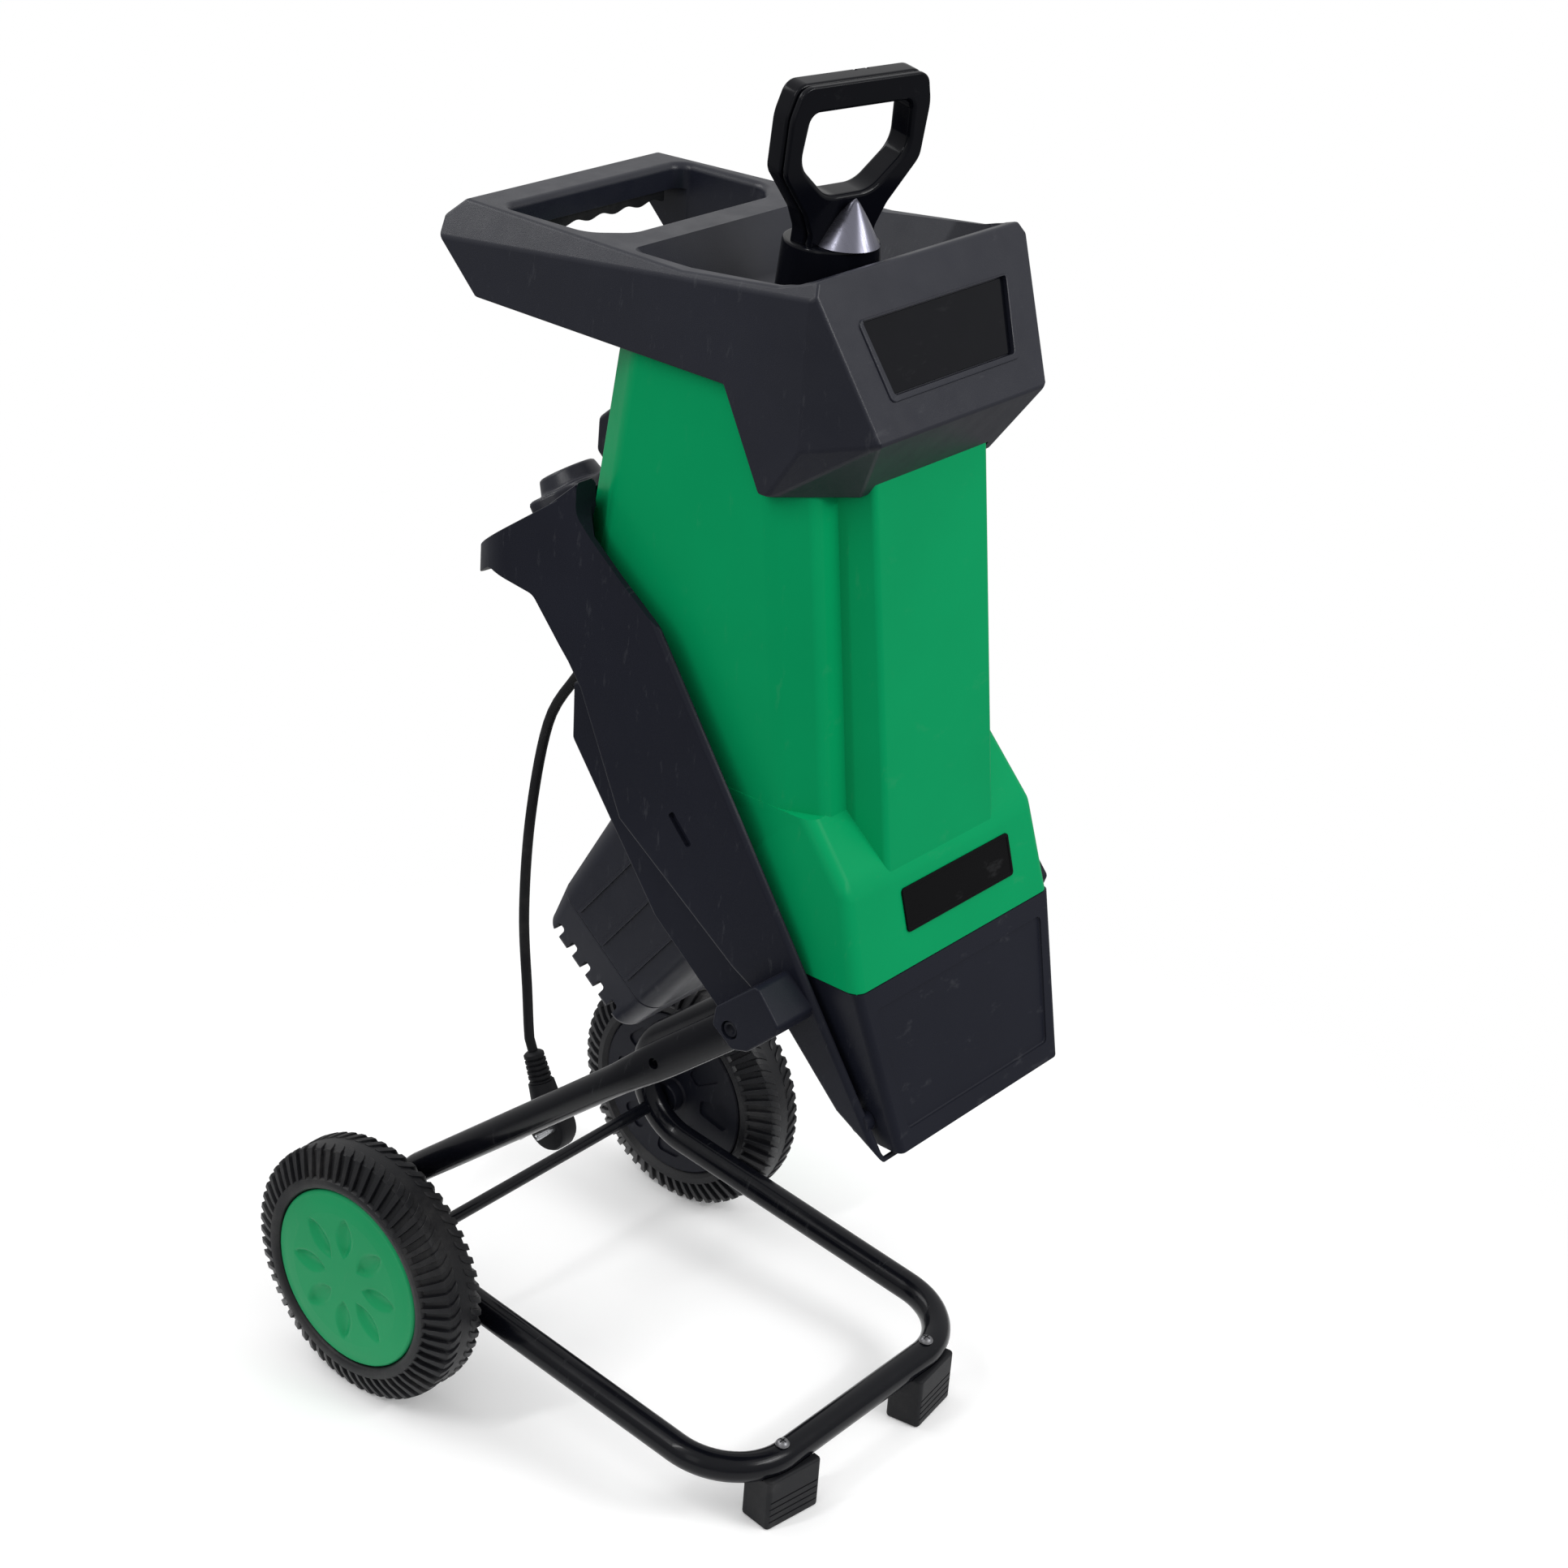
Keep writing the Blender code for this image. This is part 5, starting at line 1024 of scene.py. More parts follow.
def cap_mesh(half, ring):
    """The cap: a shallow dish that is clipped into the rim."""
    seat, inner, face = half - SEAT_DEPTH, ring - 0.003, half + 0.0004
    profile = [(0, face), (0.006, face)]
    profile += [(0.008 + 0.0012 * k, face - 0.0004 * (k / 38) ** 2) for k in range(39)]
    profile += [(0.0565, face - 0.0008), (ring - 0.0080, face - 0.0012), (ring - 0.0042, face - 0.0022),
                (ring - 0.0028, face - 0.0018), (ring - 0.0010, face - 0.0022), (ring, face - 0.0036),
                (ring, seat + GAP), (inner - GAP, seat + GAP), (inner - GAP, seat - 0.008),
                (inner - 0.0028, seat - 0.008), (inner - 0.0028, face - 0.0062), (0, face - 0.0060)]
    return dimpled(spun(profile, WORLD, 192), face)


def make_wheels():
    s = settings()
    radius, half = s.wheel_radius, s.wheel_width / 2
    ring = radius - RIM_DEPTH - GAP
    hub_low = -(WHEEL_X - ARM_X - s.tube_radius - 0.0005)
    for (side, word), body in zip(SIDES, ("wheel_l", "wheel_r")):
        place = Matrix.Translation((side * WHEEL_X, *AXLE)) @ Matrix.Rotation(side * math.pi / 2, 4, "Y")
        placed("wheel_tyre_" + word, tyre_mesh(radius, half, s.tread_bars, place), "tyre rubber", body,
               ["tyre_" + word], 38)
        placed("wheel_rim_" + word, moved(rim_mesh(half, ring, hub_low), place), "plain black", body,
               ["rim_" + word])
        placed("wheel_cap_" + word, moved(cap_mesh(half, ring), place), "cap green", body,
               ["hubcap_" + word], 50)


# Base: slanted tray with visor, lower body, leg sockets

def tray_outline():
    return rounded([
        FLANGE_TIP, FLANGE_BEND, FLANGE_HEAD, (0.0360, 0.7300), (0.060, 0.7085),
        (0.060, 0.636), (0.050, 0.620), (0.026, 0.589), (-0.013, 0.508),
        (-0.160, 0.4085), (-0.199, 0.359),
    ])


def pocket_outline():
    wall = BASE_WALL
    return [
        (0.057, 0.800), (0.057, 0.650), (0.046, 0.6175), (0.026 - 0.7 * wall, 0.589 + wall),
        (-0.013 - 0.8 * wall, 0.508 + wall), (-0.160 + 0.3 * wall, 0.4085 + 1.2 * wall),
        (-0.199 + 0.3 * wall, 0.359 + wall), (-0.218, 0.335), (-0.300, 0.335), (-0.300, 0.800),
    ]


def tip_planes(inset=0.0):
    wide = BASE_HALF_WIDTH - inset
    narrow = TIP_HALF_WIDTH - inset
    bend = (wide, FLANGE_BEND[0] + 0.082, FLANGE_BEND[1] - 0.057)
    return both_sides((wide, *FLANGE_BEND), (narrow, *FLANGE_TIP), bend, (0, -0.1, 0.6))


def visor_outline():
    return rounded([
        (0.0360, 0.7286), (0.0520, 0.7134, 0.02), (0.1720, 0.6262, 0.0), (0.1645, 0.6135, 0.0),
        (0.113, 0.6475, 0.012), (0.070, 0.642, 0.010), (0.050, 0.620), (0.030, 0.600),
    ], 5)


def visor_plan():
    """The visor seen from above: straight sides that end in half an ellipse."""
    arc = []
    for k in range(41):
        angle = math.pi * k / 40
        arc.append((BASE_HALF_WIDTH * math.cos(angle), 0.095 + 0.0745 * math.sin(angle)))
    return arc + [(-BASE_HALF_WIDTH, 0.0), (BASE_HALF_WIDTH, 0.0)]


def lower_outline():
    return rounded([
        (-0.120, 0.080), (-0.118, 0.035), (-0.090, 0.0), (MOTOR_HIGH, 0.0),
        (MOTOR_HIGH + 0.0010, 0.018), (0.112, 0.031), (0.139, 0.064), (0.125, 0.090),
    ])


def socket_outline():
    return rounded([
        (-0.1278, 0.4130, 0.004), (-0.1298, 0.4270, 0.003), (-0.1617, 0.4555, 0.004),
        (-0.1815, 0.4329, 0.004), (-0.1794, 0.4258, 0.003), (-0.158, 0.4050, 0.004),
        (-0.1452, 0.4012, 0.004),
    ], 5)


def arm_slot(side):
    """The slot in the socket for the stand's flat arm."""
    end = Vector(ARM_END)
    along = (end - Vector(HEEL)).normalized()
    end += along * 0.0005
    square = Vector((-along.y, along.x)) * 0.0140
    far = end - along * 0.12
    outline = [tuple(end + square), tuple(far + square), tuple(far - square), tuple(end - square)]
    return side_prism(outline, *span(side, ARM_X - 0.0055, ARM_X + 0.0055))


def base_cuts():
    """What is taken out of the base first: the pocket, the disc's chamber and the motor's side."""
    half = BASE_HALF_WIDTH - BASE_WALL
    pocket = side_prism(pocket_outline(), -half, half)
    trimmed(pocket, both_sides((half, 0.022, 0), (0.088, 0.057, 0), (0.088, 0.057, 1), (0, 0, 0.6)))
    trimmed(pocket, tip_planes(BASE_WALL))
    softened(pocket, 0.004, 3, 25, lambda mid, edge: abs(mid.x) < half + 0.01 and mid.z > 0.36)
    return [pocket, cylinder(0.0885, 0.018, 0.115, UNIT, 96),
            box((-0.066, -0.080, -0.01), (0.066, 0.044, 0.013), UNIT)]


def base_bores():
    """What is taken out last: the shaft's seats, arm slots, side slits, hinge and bolt holes."""
    cuts = [cylinder(0.0203, -0.01, 0.0145, UNIT, 64), cylinder(0.0115, 0.0, 0.028, UNIT, 48)]
    (y, z), (run_y, run_z) = SLIT_CENTRE, SLIT_RUN
    slit = rounded([(y + run_y * a + run_z * b, z + run_z * a - run_y * b, 0.0018)
                    for a, b in ((0.0125, 0.0028), (0.0125, -0.0028), (-0.0125, -0.0028),
                                 (-0.0125, 0.0028))])
    for side in (-1, 1):
        cuts += [arm_slot(side), side_prism(slit, *span(side, 0.1166, 0.13)),
                 cylinder(0.0033, *span(side, 0.09, 0.1015), across_at(*HINGE), 32),
                 cylinder(0.0043, *span(side, 0.107, 0.16), across_at(*LEG_BOLT), 32),
                 cylinder(0.0066, *span(side, 0.1448, 0.16), across_at(*LEG_BOLT), 48)]
    cuts.append(cylinder(0.0055, -0.021, 0.012, SHELF, 48))
    return cuts


def base_joins(edge):
    """What is joined to the slanted tray: visor, lower body, shelf behind it and leg sockets."""
    visor = side_prism(visor_outline(), -BASE_HALF_WIDTH, BASE_HALF_WIDTH)
    visor = cleaned(combined(visor, [extruded(visor_plan(), 0.5, 0.8)], "INTERSECT"), 1.0)
    softened(visor, edge * 1.1, 5, 48, lambda mid, e: mid.y > 0.046 and mid.z > 0.61)
    body = extruded(lower_outline(), -LOWER_HALF_WIDTH, LOWER_HALF_WIDTH, UNIT @ SIDEWAYS)
    corner = [UNIT @ Vector(p) for p in ((0.0935, 0.054, 0.018), (0.0935, 0.112, 0.033),
                                         (0.060, 0.066, 0.0))]
    trimmed(body, both_sides(*corner, UNIT @ Vector((0, 0, 0.06))))
    softened(body, edge * 1.4, 5, 25, lambda mid, e: abs(mid.x) > 0.05)
    joins = [visor, body, side_prism([(0.030, 0.555), (0.0555, 0.560), (0.0555, 0.615), (0.030, 0.620)],
                                     -0.030, 0.040)]
    for side in (-1, 1):
        socket = side_prism(socket_outline(), *span(side, LOWER_HALF_WIDTH - 0.010, SOCKET_FACE_X))
        joins.append(softened(socket, 0.0015, 3, 50, lambda mid, e: abs(mid.x) > SOCKET_FACE_X - 0.001))
    return joins


def make_base():
    edge = settings().edge
    base = trimmed(side_prism(tray_outline(), -BASE_HALF_WIDTH, BASE_HALF_WIDTH), tip_planes())
    softened(base, edge, 5, 15, lambda mid, e: abs(mid.x) > 0.085 and mid.z < 0.725)
    base = cleaned(combined(base, base_joins(edge), "UNION"), 0.3)
    softened(base, 0.0030, 3, 28, lambda mid, e: abs(mid.x) > 0.07 and mid.z < 0.70, convex=False)
    base = combined(base, base_cuts())
    tip_web = [(-0.1990, 0.3590), (-0.2345, 0.3338), (-0.2335, 0.3362), (-0.1980, 0.3612)]
    post = [(0.0355, 0.7255), (0.0375, 0.7275), (0.0590, 0.7080), (0.0590, 0.640), (0.0450, 0.640),
            (0.0400, 0.690), (0.0345, 0.710)]
    rail_top = rounded([(-0.0740, 0.6027), (-0.0370, 0.6535, 0.030), (-0.0053, 0.6758, 0.030),
                        (0.0219, 0.6968, 0.020), (0.0350, 0.7090, 0.014), (0.0352, 0.7400),
                        (0.0352, 0.790), (-0.080, 0.790)], 8)
    posts = [side_prism(outline, *span(side, near, far))
             for outline, near, far in ((tip_web, 0.0948, 0.0970), (post, 0.1012, 0.1190))
             for side in (-1, 1)]
    tops = [side_prism(rail_top, *span(side, 0.1008, 0.1300)) for side in (-1, 1)]
    base = combined(combined(base, posts, "UNION"), tops)
    softened(base, 0.0012, 3, 50, lambda mid, e: mid.y < 0.07 and mid.z > 0.33 and abs(mid.x) > 0.08)
    hubs = [cylinder(0.026, 0.0, 0.018, UNIT, 64)]
    hubs += [cylinder(0.0075, *span(side, 0.0945, 0.1020), across_at(*HINGE), 48) for side in (-1, 1)]
    base = combined(combined(base, hubs, "UNION"), base_bores())
    softened(base, 0.0006, 2, 60, lambda mid, e: abs(mid.x) > 0.128 and mid.z < 0.47)
    # The base wears the darker, duller copy of black plastic: painted shade
    placed("base_body", base, "shaded black plastic", "base", ["base_housing"], 35)


# Lock knob

def make_lock():
    lift, skirt, high, radius = 0.0038, 0.0165, 0.0285, 0.032
    bm = bmesh.new()
    count = 120
    stations = [(0.90, lift, 0.9), (0.97, lift + 0.0006, 1.0), (1.0, lift + 0.0020, 1.0),
                (1.0, skirt - 0.0028, 1.0), (0.975, skirt - 0.0010, 1.0), (0.93, skirt - 0.0002, 0.95),
                (0.86, skirt, 0.8), (0.78, skirt + 0.0004, 0.35), (0.735, skirt + 0.0014, 0.10),
                (0.715, skirt + 0.0032, 0.0), (0.655, high - 0.0022, 0.0), (0.635, high - 0.0008, 0.0),
                (0.590, high, 0.0), (0.45, high, 0.0), (0.42, high - 0.0012, 0.0)]
    rings = []
    for share, z, lobed in stations:
        ring = []
        for k in range(count):
            angle = 2 * math.pi * k / count
            wave = math.cos(5 * angle)
            r = (radius + 0.004 * wave * lobed) * share
            ring.append(bm.verts.new((r * math.sin(angle), r * math.cos(angle), z)))
        rings.append(ring)
    for one, two in zip(rings, rings[1:]):
        for k in range(count):
            bm.faces.new((one[k - 1], one[k], two[k], two[k - 1]))
    bm.faces.new(rings[0])
    bm.faces.new(rings[-1])
    bmesh.ops.recalc_face_normals(bm, faces=bm.faces)
    knob = combined(moved(bm, SHELF), [cylinder(0.012, 0.0003, lift + 0.002, SHELF, 48)], "UNION")
    knob = combined(knob, [cylinder(0.0053, -0.01, high - 0.005, SHELF, 48)])
    placed("knob_body", knob, "black plastic", "lock", ["lock_knob"], 45)
    stud = [(0, -0.020), (0.0042, -0.020), (0.0050, -0.0192)]
    for k in range(9):
        z = -0.0185 + 0.0016 * k
        stud += [(0.0050, z), (0.0044, z + 0.0008)]
    stud += [(0.0050, -0.003), (0.0050, 0.0225), (0.0045, 0.0230), (0, 0.0230)]
    placed("knob_stud", spun(stud, SHELF, 48), "steel", "lock", ["lock_stud"])


# Motor casing

def motor_loop(inset=0.0):
    return rectangle(0.075 - inset, MOTOR_LOW + inset, MOTOR_HIGH - inset, 0.018 - inset, 12)


def tapered(bm, floor=None):
    """Draws the upper side in towards the far end, in the motor's own frame."""
    for vert in bm.verts:
        vert.co.y = MOTOR_LOW + (vert.co.y - MOTOR_LOW) * (1 + MOTOR_TAPER * min(0.0, vert.co.z))
        if floor is not None and vert.co.z < floor:
            vert.co.x *= 0.96
            vert.co.y *= 0.95
    return bm


def motor_cap(top):
    """The end cap: a bowl with the bearing's seat, notches at the sides and slots below."""
    floor = top - CAP_LENGTH
    cap = tapered(extruded(motor_loop(), floor, top), floor + 0.001)
    softened(cap, 0.0050, 5, 50, lambda mid, e: mid.z < floor + 0.002)
    softened(cap, 0.0010, 3, 50, lambda mid, e: mid.z > top - 0.001)
    hollow = tapered(extruded(motor_loop(0.0045), floor + 0.0045, top + 0.01), floor + 0.006)
    cap = combined(cap, [hollow])
    cap = combined(cap, [cylinder(0.021, floor + 0.002, floor + 0.017, WORLD, 64)], "UNION")
    cuts = [cylinder(0.0163, floor + 0.0065, floor + 0.04, WORLD, 64)]
    for side in (-1, 1):
        for k in range(5):
            y = -0.036 + 0.0165 * k
            notch = rounded([(y - 0.0035, floor - 0.006), (y + 0.0035, floor - 0.006),
                             (y + 0.0035, floor + 0.014, 0.0034), (y - 0.0035, floor + 0.014, 0.0034)], 6)
            cuts.append(side_prism(notch, *span(side, 0.061, 0.085)))
    for k in range(7):
        y = -0.042 + 0.0130 * k
        half = 0.040 - 0.0007 * abs(k - 3) * 6
        cuts.append(box((-half, y - 0.0014, floor - 0.002), (half, y + 0.0014, floor + 0.0012)))
    cap = combined(cap, cuts)
    return softened(cap, 0.0006, 2, 55, lambda mid, e: mid.z < floor + 0.018 and abs(mid.x) > 0.058)


def make_motor():
    top, bottom = -GAP, -MOTOR_LENGTH
    shell = tapered(extruded(motor_loop(), bottom, top))
    softened(shell, 0.0010, 3, 50)
    ribs = []
    for side in (-1, 1):
        low, high = span(side, 0.0735, 0.0768)
        for y in (-0.030, 0.0, 0.028):
            rib = box((low, y - 0.0014, bottom + 0.004), (high, y + 0.0014, top - 0.006))
            ribs.append(softened(rib, 0.0008, 2, 50))
    rib = box((-0.0016, MOTOR_LOW - 0.0045, bottom + 0.006), (0.0016, MOTOR_LOW + 0.001, -0.004))
    ribs.append(softened(rib, 0.0010, 2, 50))
    cuts = [cylinder(0.0413, bottom - 0.01, 0.01, WORLD, 96)]
    for side in (-1, 1):
        low, high = span(side, 0.030, 0.0715)
        cuts.append(box((low, -0.030, bottom - 0.01), (high, 0.020, -0.006)))
    shell = combined(combined(shell, ribs, "UNION"), cuts)
    placed("motor_body", moved(shell, UNIT), "black plastic", "base", ["motor_shell"], 35)
    cap = motor_cap(bottom - GAP)
    placed("motor_cap", moved(cap, UNIT), "black plastic", "base", ["motor_end_cap"], 35)


# Cutting disc

def make_cutter():
    level_low, thick = 0.026, 0.006
    top = level_low + thick
    disc = spun([(0.0845, top - 0.0006), (0.0839, top), (0.0084, top), (0.0078, top - 0.0006),
                 (0.0078, level_low + 0.0006), (0.0084, level_low), (0.0839, level_low),
                 (0.0845, level_low + 0.0006)], WORLD, 128, ring=True)
    cuts = []
    for k, word in enumerate(("a", "b")):
        turn = turned(math.pi * (k + 0.35))
        slot = rectangle(0.0265, 0.013, 0.021, 0.0025)
        cuts.append(extruded(slot, level_low - 0.01, top + 0.01, turn @ Matrix.Translation((0.0475, 0, 0))))
        low, high = top + GAP, top + GAP + 0.004
        blade = box((0.018, -0.012, low), (0.074, 0.012, high), turn)
        bevel = [((0, 0.012, low + 0.0006), (0, 0.5, 0.85)), ((0, -0.012, low + 0.0006), (0, -0.5, 0.85))]
        trimmed(blade, [(turn @ Vector(p), (turn.to_3x3() @ Vector(n)).normalized()) for p, n in bevel])
        softened(blade, 0.0003, 1, 50, lambda mid, e: mid.z > low + 0.001)
        sinks = []
        for n, along in enumerate((0.24, 0.76)):
            spot = turn @ Matrix.Translation((0.018 + 0.056 * along, 0, 0))
            cuts.append(cylinder(0.0033, level_low - 0.01, high + 0.01, spot, 32))
            sinks.append(cylinder(0.0033, level_low - 0.01, high + 0.01, spot, 32))
            sinks.append(cylinder(0.0033, low + 0.001, high + 0.0005, spot, 32, top=0.0062))
            head = 0.0054
            screw = spun([(0, high - 0.0002), (head - 0.0004, high), (head, high - 0.0004),
                          (0.003, low + 0.0012), (0.003, level_low - 0.003), (0, level_low - 0.003)],
                         spot, 32)
            socket = extruded(circle(0.0022, 6), high - 0.0018, high + 0.01, spot)
            screw = combined(screw, [socket])
            placed(f"cutter_screw_{word}{n + 1}", moved(screw, UNIT), "dark steel", "rotor",
                   [f"blade_screw_{word}{n + 1}"])
        blade = combined(blade, sinks)
        placed("cutter_blade_" + word, moved(blade, UNIT), "steel", "rotor", ["blade_" + word], 30)
    disc = softened(combined(disc, cuts), 0.0004, 1, 60)
    placed("cutter_disc", moved(disc, UNIT), "dark steel", "rotor", ["blade_disc"], 40)
    nut = extruded(circle(0.0115, 6), top + GAP, top + GAP + 0.007)
    crown = cylinder(0.0150, top + GAP - 0.001, top + GAP + 0.0073, WORLD, 64, top=0.0098)
    nut = combined(combined(nut, [crown], "INTERSECT"), [cylinder(0.0078, 0.0, 0.08, WORLD, 48)])
    placed("cutter_nut", moved(nut, UNIT), "steel", "rotor", ["disc_nut"], 35)


# Hopper: green housing, label, discharge box, latch

def trunk_floor():
    return across((0.045, 0.683), (-0.190, 0.420), (0, -0.15, 0.75))


def skirt_floor(lower=0.0):
    point, normal = across((-0.2291, 0.3342), (-0.0005, 0.6625), (0, -0.15, 0.75))
    return point + normal * lower, normal


def trunk_planes():
    inside = (0, -0.05, 0.65)
    return [
        across((-0.133, 0.750), (-0.158, 0.560), inside),
        across((0.040, 0.810), (0.055, 0.700), inside),
        (Vector((0.100, 0, 0)), Vector((1, 0, 0))),
        (Vector((-0.100, 0, 0)), Vector((-1, 0, 0))),
        *both_sides((0.100, -0.105, 0.750), (0.087, -0.133, 0.750), (0.100, -0.130, 0.560), inside),
        *both_sides((0.100, 0.012, 0.810), (0.081, 0.040, 0.810), (0.100, 0.027, 0.700), inside),
    ]


def panel_planes():
    inside = (0, -0.12, 0.65)
    return [
        across((-0.157, 0.750), (-0.190, 0.516), inside),
        *both_sides((0.0588, -0.157, 0.750), (0.0665, -0.133, 0.750), (0.0579, -0.190, 0.516), inside),
        (Vector((0, -0.100, 0)), Vector((0, 1, 0))),
    ]


def skirt_planes():
    inside = (0, -0.10, 0.50)
    shoulder = (-0.155, 0.556)
    return [
        across(SKIRT_HEAD, SKIRT_FOOT, inside),
        across(SKIRT_HEAD, shoulder, inside),
        *both_sides((0.103, *SKIRT_HEAD), (0.107, *SKIRT_FOOT), (0.103, -0.10, 0.515), inside),
        *both_sides((0.103, *SKIRT_HEAD), (0.1002, *shoulder), (0.103, -0.10, 0.515), inside),
    ]


def upright(edge):
    """Whether an edge runs more up than across."""
    return abs((edge.verts[0].co - edge.verts[1].co).normalized().z) > 0.7


def make_housing():
    wall = 0.003
    body = block(trunk_planes() + [level(HOPPER_TOP, True), trunk_floor(), level(0.47, False)])
    softened(body, 0.0060, 5, 15, lambda mid, e: upright(e))
    panel = block(panel_planes() + between(0.50, HOPPER_TOP - 0.04))
    softened(panel, 0.0035, 4, 20, lambda mid, e: mid.y < -0.105 and upright(e))
    skirt = block(skirt_planes() + [skirt_floor(), level(0.553, True), level(SKIRT_BOTTOM, False)])
    softened(skirt, 0.0090, 7, 15, lambda mid, e: 0.4600 < mid.z < 0.552 and mid.y < -0.11, clamp=False)
    body = cleaned(combined(body, [panel, skirt], "UNION"), 0.3)
    softened(body, 0.0060, 6, 12, lambda mid, e: mid.z < 0.80 and mid.y < -0.10, convex=False)
    hollows = [trimmed(block(planes, wall), between(low, high))
               for planes, low, high in ((trunk_planes(), 0.40, 0.90), (panel_planes(), 0.453, 0.797),
                                         (skirt_planes(), 0.353, 0.5495))]
    body = combined(body, hollows)
    softened(body, 0.0008, 2, 55, lambda mid, e: mid.z < 0.47)
    placed("hopper_body", body, "green plastic", "hopper", ["hopper_housing"], 30)


def make_label():
    head = Vector((0, *SKIRT_HEAD))
    down = (Vector((0, *SKIRT_FOOT)) - head).normalized()
    out = down.cross(Vector((1, 0, 0)))
    place = facing(head + down * 0.0295 + out * GAP + Vector((0.0095, 0, 0)), -down, out)
    plate = softened(extruded(rectangle(0.0587, -0.0150, 0.0150, 0.003), 0.0, 0.0012), 0.0005, 2, 50,
                     lambda mid, e: mid.z > 0.001)
    field = softened(extruded(rectangle(0.0565, -0.0128, 0.0128, 0.002), 0.0008, 0.004), 0.0003, 1, 50)
    placed("label_bare", moved(combined(plate, [field]), place), "label", "hopper",
           ["label_plate"], 35)


def box_planes():
    inside = (0, -0.19, 0.42)
    return [
        across(BOX_HEAD, BOX_FOOT, inside),
        *both_sides((0.1068, *BOX_HEAD), (0.0903, *BOX_FOOT), (0.1068, -0.15, 0.4500), inside),
    ]


def make_discharge_box():
    floor = skirt_floor(0.005)
    top = SKIRT_BOTTOM - GAP
    wall = 0.003
    inset = wall + GAP
    lip = offset(skirt_planes(), -inset)
    thing = block(box_planes() + [floor, level(BOX_BOTTOM, False), level(top, True)])
    softened(thing, 0.0060, 5, 25, lambda mid, e: mid.y < -0.15 and BOX_BOTTOM + 0.003 < mid.z < top - 0.003)
    softened(thing, 0.0012, 3, 40, lambda mid, e: mid.z < BOX_BOTTOM + 0.002)
    thing = combined(thing, [block(lip + [floor] + between(top - 0.004, top + 0.010))], "UNION")
    hollow = trimmed(block(box_planes(), wall), between(0.303, top - 0.009))
    lip_hollow = block(offset(offset(lip + box_planes(), -inset), GAP) + between(top - 0.012, 0.60))
    up = (Vector((0, *BOX_HEAD)) - Vector((0, *BOX_FOOT))).normalized()
    centre = Vector((0, (BOX_HEAD[0] + BOX_FOOT[0]) / 2, (BOX_HEAD[1] + BOX_FOOT[1]) / 2))
    place = facing(centre, up, box_planes()[0][1])
    field = rounded([(-0.092, 0.044, 0.004), (0.092, 0.044, 0.004), (0.0785, -0.044, 0.004),
                     (-0.0785, -0.044, 0.004)])
    recess = softened(extruded(field, -0.0017, 0.01, place), 0.0014, 3, 60,
                      lambda mid, e: (place.inverted() @ mid).z < 0)
    pin_bore = cylinder(0.0035, -0.13, 0.13, across_at(*HINGE), 32)
    thing = combined(thing, [hollow, lip_hollow, recess, pin_bore])
    softened(thing, 0.0006, 2, 60, lambda mid, e: mid.z < BOX_BOTTOM + 0.001)
    # The discharge box wears the same darker, duller copy of black plastic: painted shade
    placed("chip_hood", thing, "shaded black plastic", "hopper", ["discharge_box"], 30)
    for side, word in SIDES:
        low, high = span(side, 0.0850, 0.1010)
        pin = spun([(0, low), (0.0024, low), (0.003, low + 0.0006), (0.003, high - 0.0006), (0.0024, high),
                    (0, high)], across_at(*HINGE), 32)
        placed("pivot_pin_" + word, pin, "steel", "base", ["hinge_pin_" + word])


def make_latch():
    latch = side_prism(rounded([
        (0.0475, 0.7580), (0.0745, 0.7535), (0.0862, 0.7430), (0.0866, 0.7195), (0.0790, 0.7135),
        (0.0536, 0.7140),
    ]), -0.045, 0.045)
    softened(latch, 0.0032, 4, 20, lambda mid, e: mid.y > 0.058)
    ribs = [softened(box((x - 0.0012, 0.0850, 0.722), (x + 0.0012, 0.0874, 0.740)), 0.0006, 2, 50)
            for x in (-0.036, -0.029, -0.022, 0.022, 0.029, 0.036)]
    latch = combined(latch, ribs, "UNION")
    placed("latch_body", latch, "black plastic", "hopper", ["hopper_latch"], 35)
    foot = [SHELF @ Vector((0, y, z)) for y, z in ((-0.0580, 0.0020), (-0.025, 0.0020), (-0.025, GAP),
                                                   (-0.0601, GAP))]
    lug = side_prism([(0.0869, 0.735), (0.0886, 0.735)] + [(p.y, p.z) for p in foot], -0.010, 0.010)
    softened(lug, 0.0003, 2, 50)
    placed("latch_tongue", lug, "steel", "hopper", ["latch_lug"], 30)


# Collar with its rim, funnel and carrying handle

def collar_outline():
    return [
        RIM_EDGE, (-0.105, 0.8923), (-0.030, 0.8836), (0.1640, 0.8812), (0.1762, 0.8690),
        (0.1735, 0.8570), (0.1400, 0.8242), (-0.0695, 0.8220), (-0.1020, 0.7604), (-0.150, 0.7615),
        COLLAR_NOSE,
    ]


def collar_planes():
    inside = (0, 0, 0.85)
    wide = COLLAR_HALF_WIDTH
    rim, low_side, low_front = (wide, *RIM_EDGE), (0.107, -0.135, 0.797), (0.0866, *COLLAR_NOSE)
    foot, corner = (0.0652, -0.1507, 0.7607), (0.1070, -0.1111, 0.7596)
    top_rear, side_rear = (wide - 0.014, 0.150, 0.8812), (wide, 0.150, 0.8600)
    return [
        *both_sides(rim, low_side, low_front, inside), *both_sides(low_side, low_front, corner, inside),
        *both_sides(low_front, foot, corner, inside),
        *both_sides(top_rear, side_rear, (wide, -0.090, 0.8860), inside),
    ]


def handle_loop():
    return rounded(symmetric([(-HANDLE_OPENING, 0.137, 0.010), (-HANDLE_OPENING, 0.064, 0.020),
                              (-0.066, 0.046, 0.016)]))


